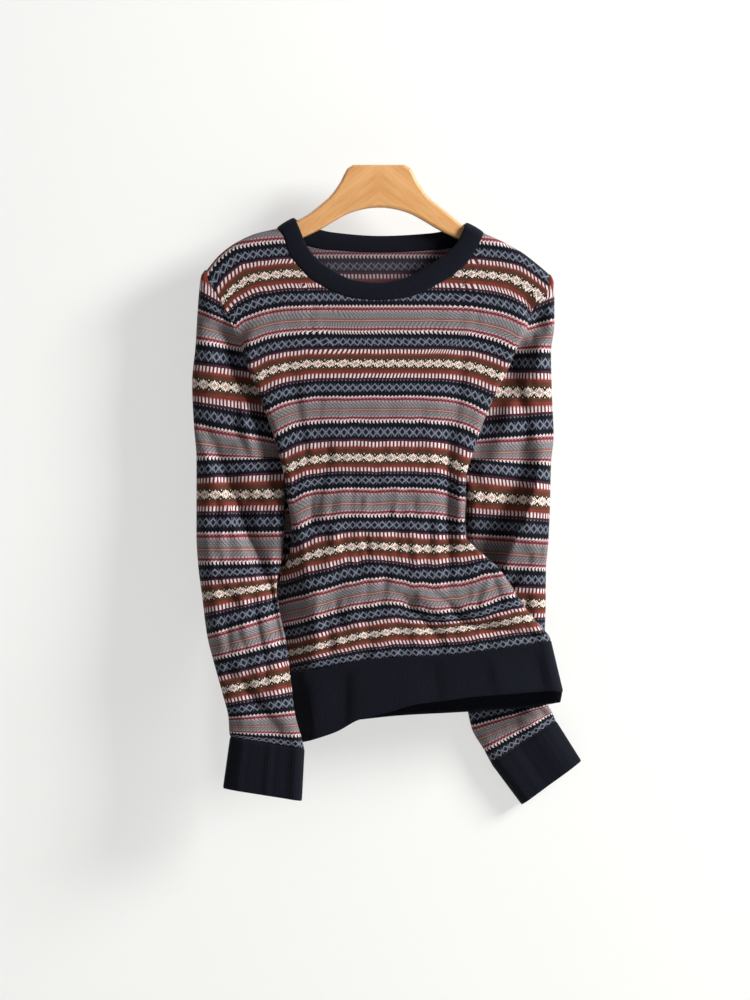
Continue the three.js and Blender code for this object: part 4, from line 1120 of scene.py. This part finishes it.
# Hem rib
# One deep band of the same navy rib, knitted on below the front and back and open at the bottom.
# It swings to the right with the body, and its front hangs a little lower than its back on the left.
hem_edge = table("x front back shift", """
    -128 -660 -642 12
    -101 -657 -641 12
    -80 -651 -638 12
    -59 -644 -636 11
    -33 -631 -634 9
    6 -621 -630 7
    36 -613 -628 5
    74 -608 -626 5
    103 -604 -624 7
    142 -601 -621 10
    182 -598 -616 13
    208 -602 -609 14
""")
HEM_BEHIND = 24
HEM_FLARE = 5
HEM_ROWS = 34
HEM_DEEP = 80
HEM_EASE = 0.3
ring = np.concatenate([body["front"][0], body["back"][0][-2::-1]])
top, ribs = even_ring(ring)
behind = smooth(top[:, 1] / HEM_BEHIND + 0.5)
t = np.linspace(1, 0, HEM_ROWS + 1)[:, None]
low_z = lerp(hem_edge["front"](top[:, 0]), hem_edge["back"](top[:, 0]), behind)
rows = np.stack([
    top[:, 0] + hem_edge["shift"](top[:, 0]) * t,
    top[:, 1] - HEM_FLARE * t * t * (1 - behind),
    lerp(top[:, 2], low_z, t),
], axis=2)
HEM_FOLDS = """
    -38 -575 -40 -640 16 3
    -85 -580 -82 -655 14 3
    60 -565 66 -612 18 2
    130 -560 140 -602 16 -2
    178 -560 186 -600 12 2
"""
rows = soft_folds(rows, HEM_FOLDS, smooth(t / HEM_EASE) * (1 - behind))
chart = np.stack(np.broadcast_arrays(ribs * RIB_PITCH / STITCH, (1 - t) * HEM_DEEP / ROW), axis=2)
half = RIB_HALF * edge_ease(rows, RIB_EDGE, RIB_EDGE_LEAST)
raised = RIB_HIGH * np.cos(2 * np.pi * ribs) * half / RIB_HALF
knit_shell("hem_band", "hem_rib", navy, rows, chart, half, raised)


# Neckband
# A doubled band of the navy rib, linked to the neck edge all round and folded over at its rim, so
# it is thicker than the body and its rim is round.
BAND_HALF = 1.7
BAND_ROWS = 16
BAND_FULL = 0.7
BAND_DEEP = 22
BAND_EDGE = 3.0
BAND_EDGE_LEAST = 0.25
BAND_RIB_SHARE = 0.6
BAND_POINTS = 900
seam_points, rim_points = [], []
for neck, panel in ((front_neck, "front"), (back_neck, "back")):
    a = np.linspace(0, 1, BAND_POINTS)
    both = [neck_line(neck, panel, name, a) for name in ("seam", "rim")]
    if panel == "back":
        both = [line[::-1][1:] for line in both]
    seam_points.append(both[0])
    rim_points.append(both[1])
seam, rim = np.concatenate(seam_points), np.concatenate(rim_points)
mid = (seam + rim) / 2
far = np.concatenate([[0], np.cumsum(np.linalg.norm(np.diff(mid, axis=0), axis=1))])
ribs = round(far[-1] / RIB_PITCH)
count = RIB_STEPS * ribs
place = np.linspace(0, far[-1], count + 1)
seam, rim = (
    np.stack([np.interp(place, far, line[:, k]) for k in range(3)], axis=1) for line in (seam, rim)
)
ribs = np.arange(count + 1) * ribs / count
t = 0.5 - 0.5 * np.cos(np.linspace(0, np.pi, BAND_ROWS + 1))[:, None, None]
rows = lerp(seam, rim, t)
t = t[..., 0]
chart = np.stack(np.broadcast_arrays(ribs * RIB_PITCH / STITCH, t * BAND_DEEP / ROW), axis=2)
half = (BAND_HALF + BAND_FULL * np.sin(np.pi * t)) * edge_ease(rows, BAND_EDGE, BAND_EDGE_LEAST)
raised = BAND_RIB_SHARE * RIB_HIGH * np.cos(2 * np.pi * ribs) * half / BAND_HALF
knit_shell("neck_rib", "neckband", navy, rows, chart, half, raised)


# Studio
# A plain pale wall close behind the hanging piece, a plain pale floor far below it, soft daylight
# from the right and a little fill from all round.
def board(name, corners, colour):
    mesh = bpy.data.meshes.new(name)
    mesh.from_pydata(corners, [], [(0, 1, 2, 3)])
    made, tree, shader = new_material(name + "_paint")
    shader.inputs["Base Color"].default_value = linear(colour)
    shader.inputs["Roughness"].default_value = 0.95
    mesh.materials.append(made)
    item = bpy.data.objects.new(name, mesh)
    bpy.context.scene.collection.objects.link(item)
    return tree, shader


WALL_Y = 0.056
WALL_TOP = 4
FLOOR_Z = -2.2
WIDE = 6
corners = ((-WIDE, 0), (WIDE, 0), (WIDE, 1), (-WIDE, 1))
wall = [(x, WALL_Y, lerp(FLOOR_Z, WALL_TOP, up)) for x, up in corners]
floor = [(x, lerp(-WIDE, WIDE, back), FLOOR_Z) for x, back in corners]
tree, shader = board("wall", wall, "#9c9c9a")
# The wall is thin white paper lit a little from behind, so that shadows on it stay pale.
shader.inputs["Emission Color"].default_value = linear("#fefefc")
shader.inputs["Emission Strength"].default_value = 0.58
# Seen from behind, the wall lets the view through to the back of the jumper.
clear = add(tree, "BsdfTransparent")
facing = add(tree, "NewGeometry").outputs["Backfacing"]
two_sided = add(tree, "MixShader", {0: facing, 1: shader, 2: clear})
tree.links.new(two_sided.outputs[0], tree.nodes["Material Output"].inputs["Surface"])
board("floor", floor, "#e9e8e6")


def soft_light(name, place, target, size, power):
    lamp = bpy.data.lights.new(name, "AREA")
    lamp.shape = "RECTANGLE"
    lamp.size, lamp.size_y = size
    lamp.energy = power
    item = bpy.data.objects.new(name, lamp)
    item.location = place
    item.rotation_euler = (Vector(target) - Vector(place)).to_track_quat("-Z", "Y").to_euler()
    bpy.context.scene.collection.objects.link(item)


soft_light("window", (2.4, -1.35, 0.8), (0, 0, -0.35), (1.0, 1.0), 172)
soft_light("fill", (-0.6, -3.6, 1.6), (0, 0, -0.4), (2.5, 2.5), 6)
world = bpy.data.worlds.new("studio_air")
world.use_nodes = True
world.node_tree.nodes["Background"].inputs["Color"].default_value = linear("#f4f4f4")
world.node_tree.nodes["Background"].inputs["Strength"].default_value = 0.15
bpy.context.scene.world = world
bpy.context.scene.view_settings.view_transform = "Standard"

# Camera: level and square on, four metres away, its frame 1140 mm high at the hanger.
CAMERA_FAR = 4.0
FRAME_HIGH = 1.14
camera = bpy.data.cameras.new("camera")
camera.sensor_width = 36
camera.lens = camera.sensor_width * CAMERA_FAR / FRAME_HIGH
eye = bpy.data.objects.new("camera", camera)
eye.location = (-0.0046, -CAMERA_FAR, -0.3819)
eye.rotation_euler = (math.pi / 2, 0, 0)
bpy.context.scene.collection.objects.link(eye)
bpy.context.scene.camera = eye
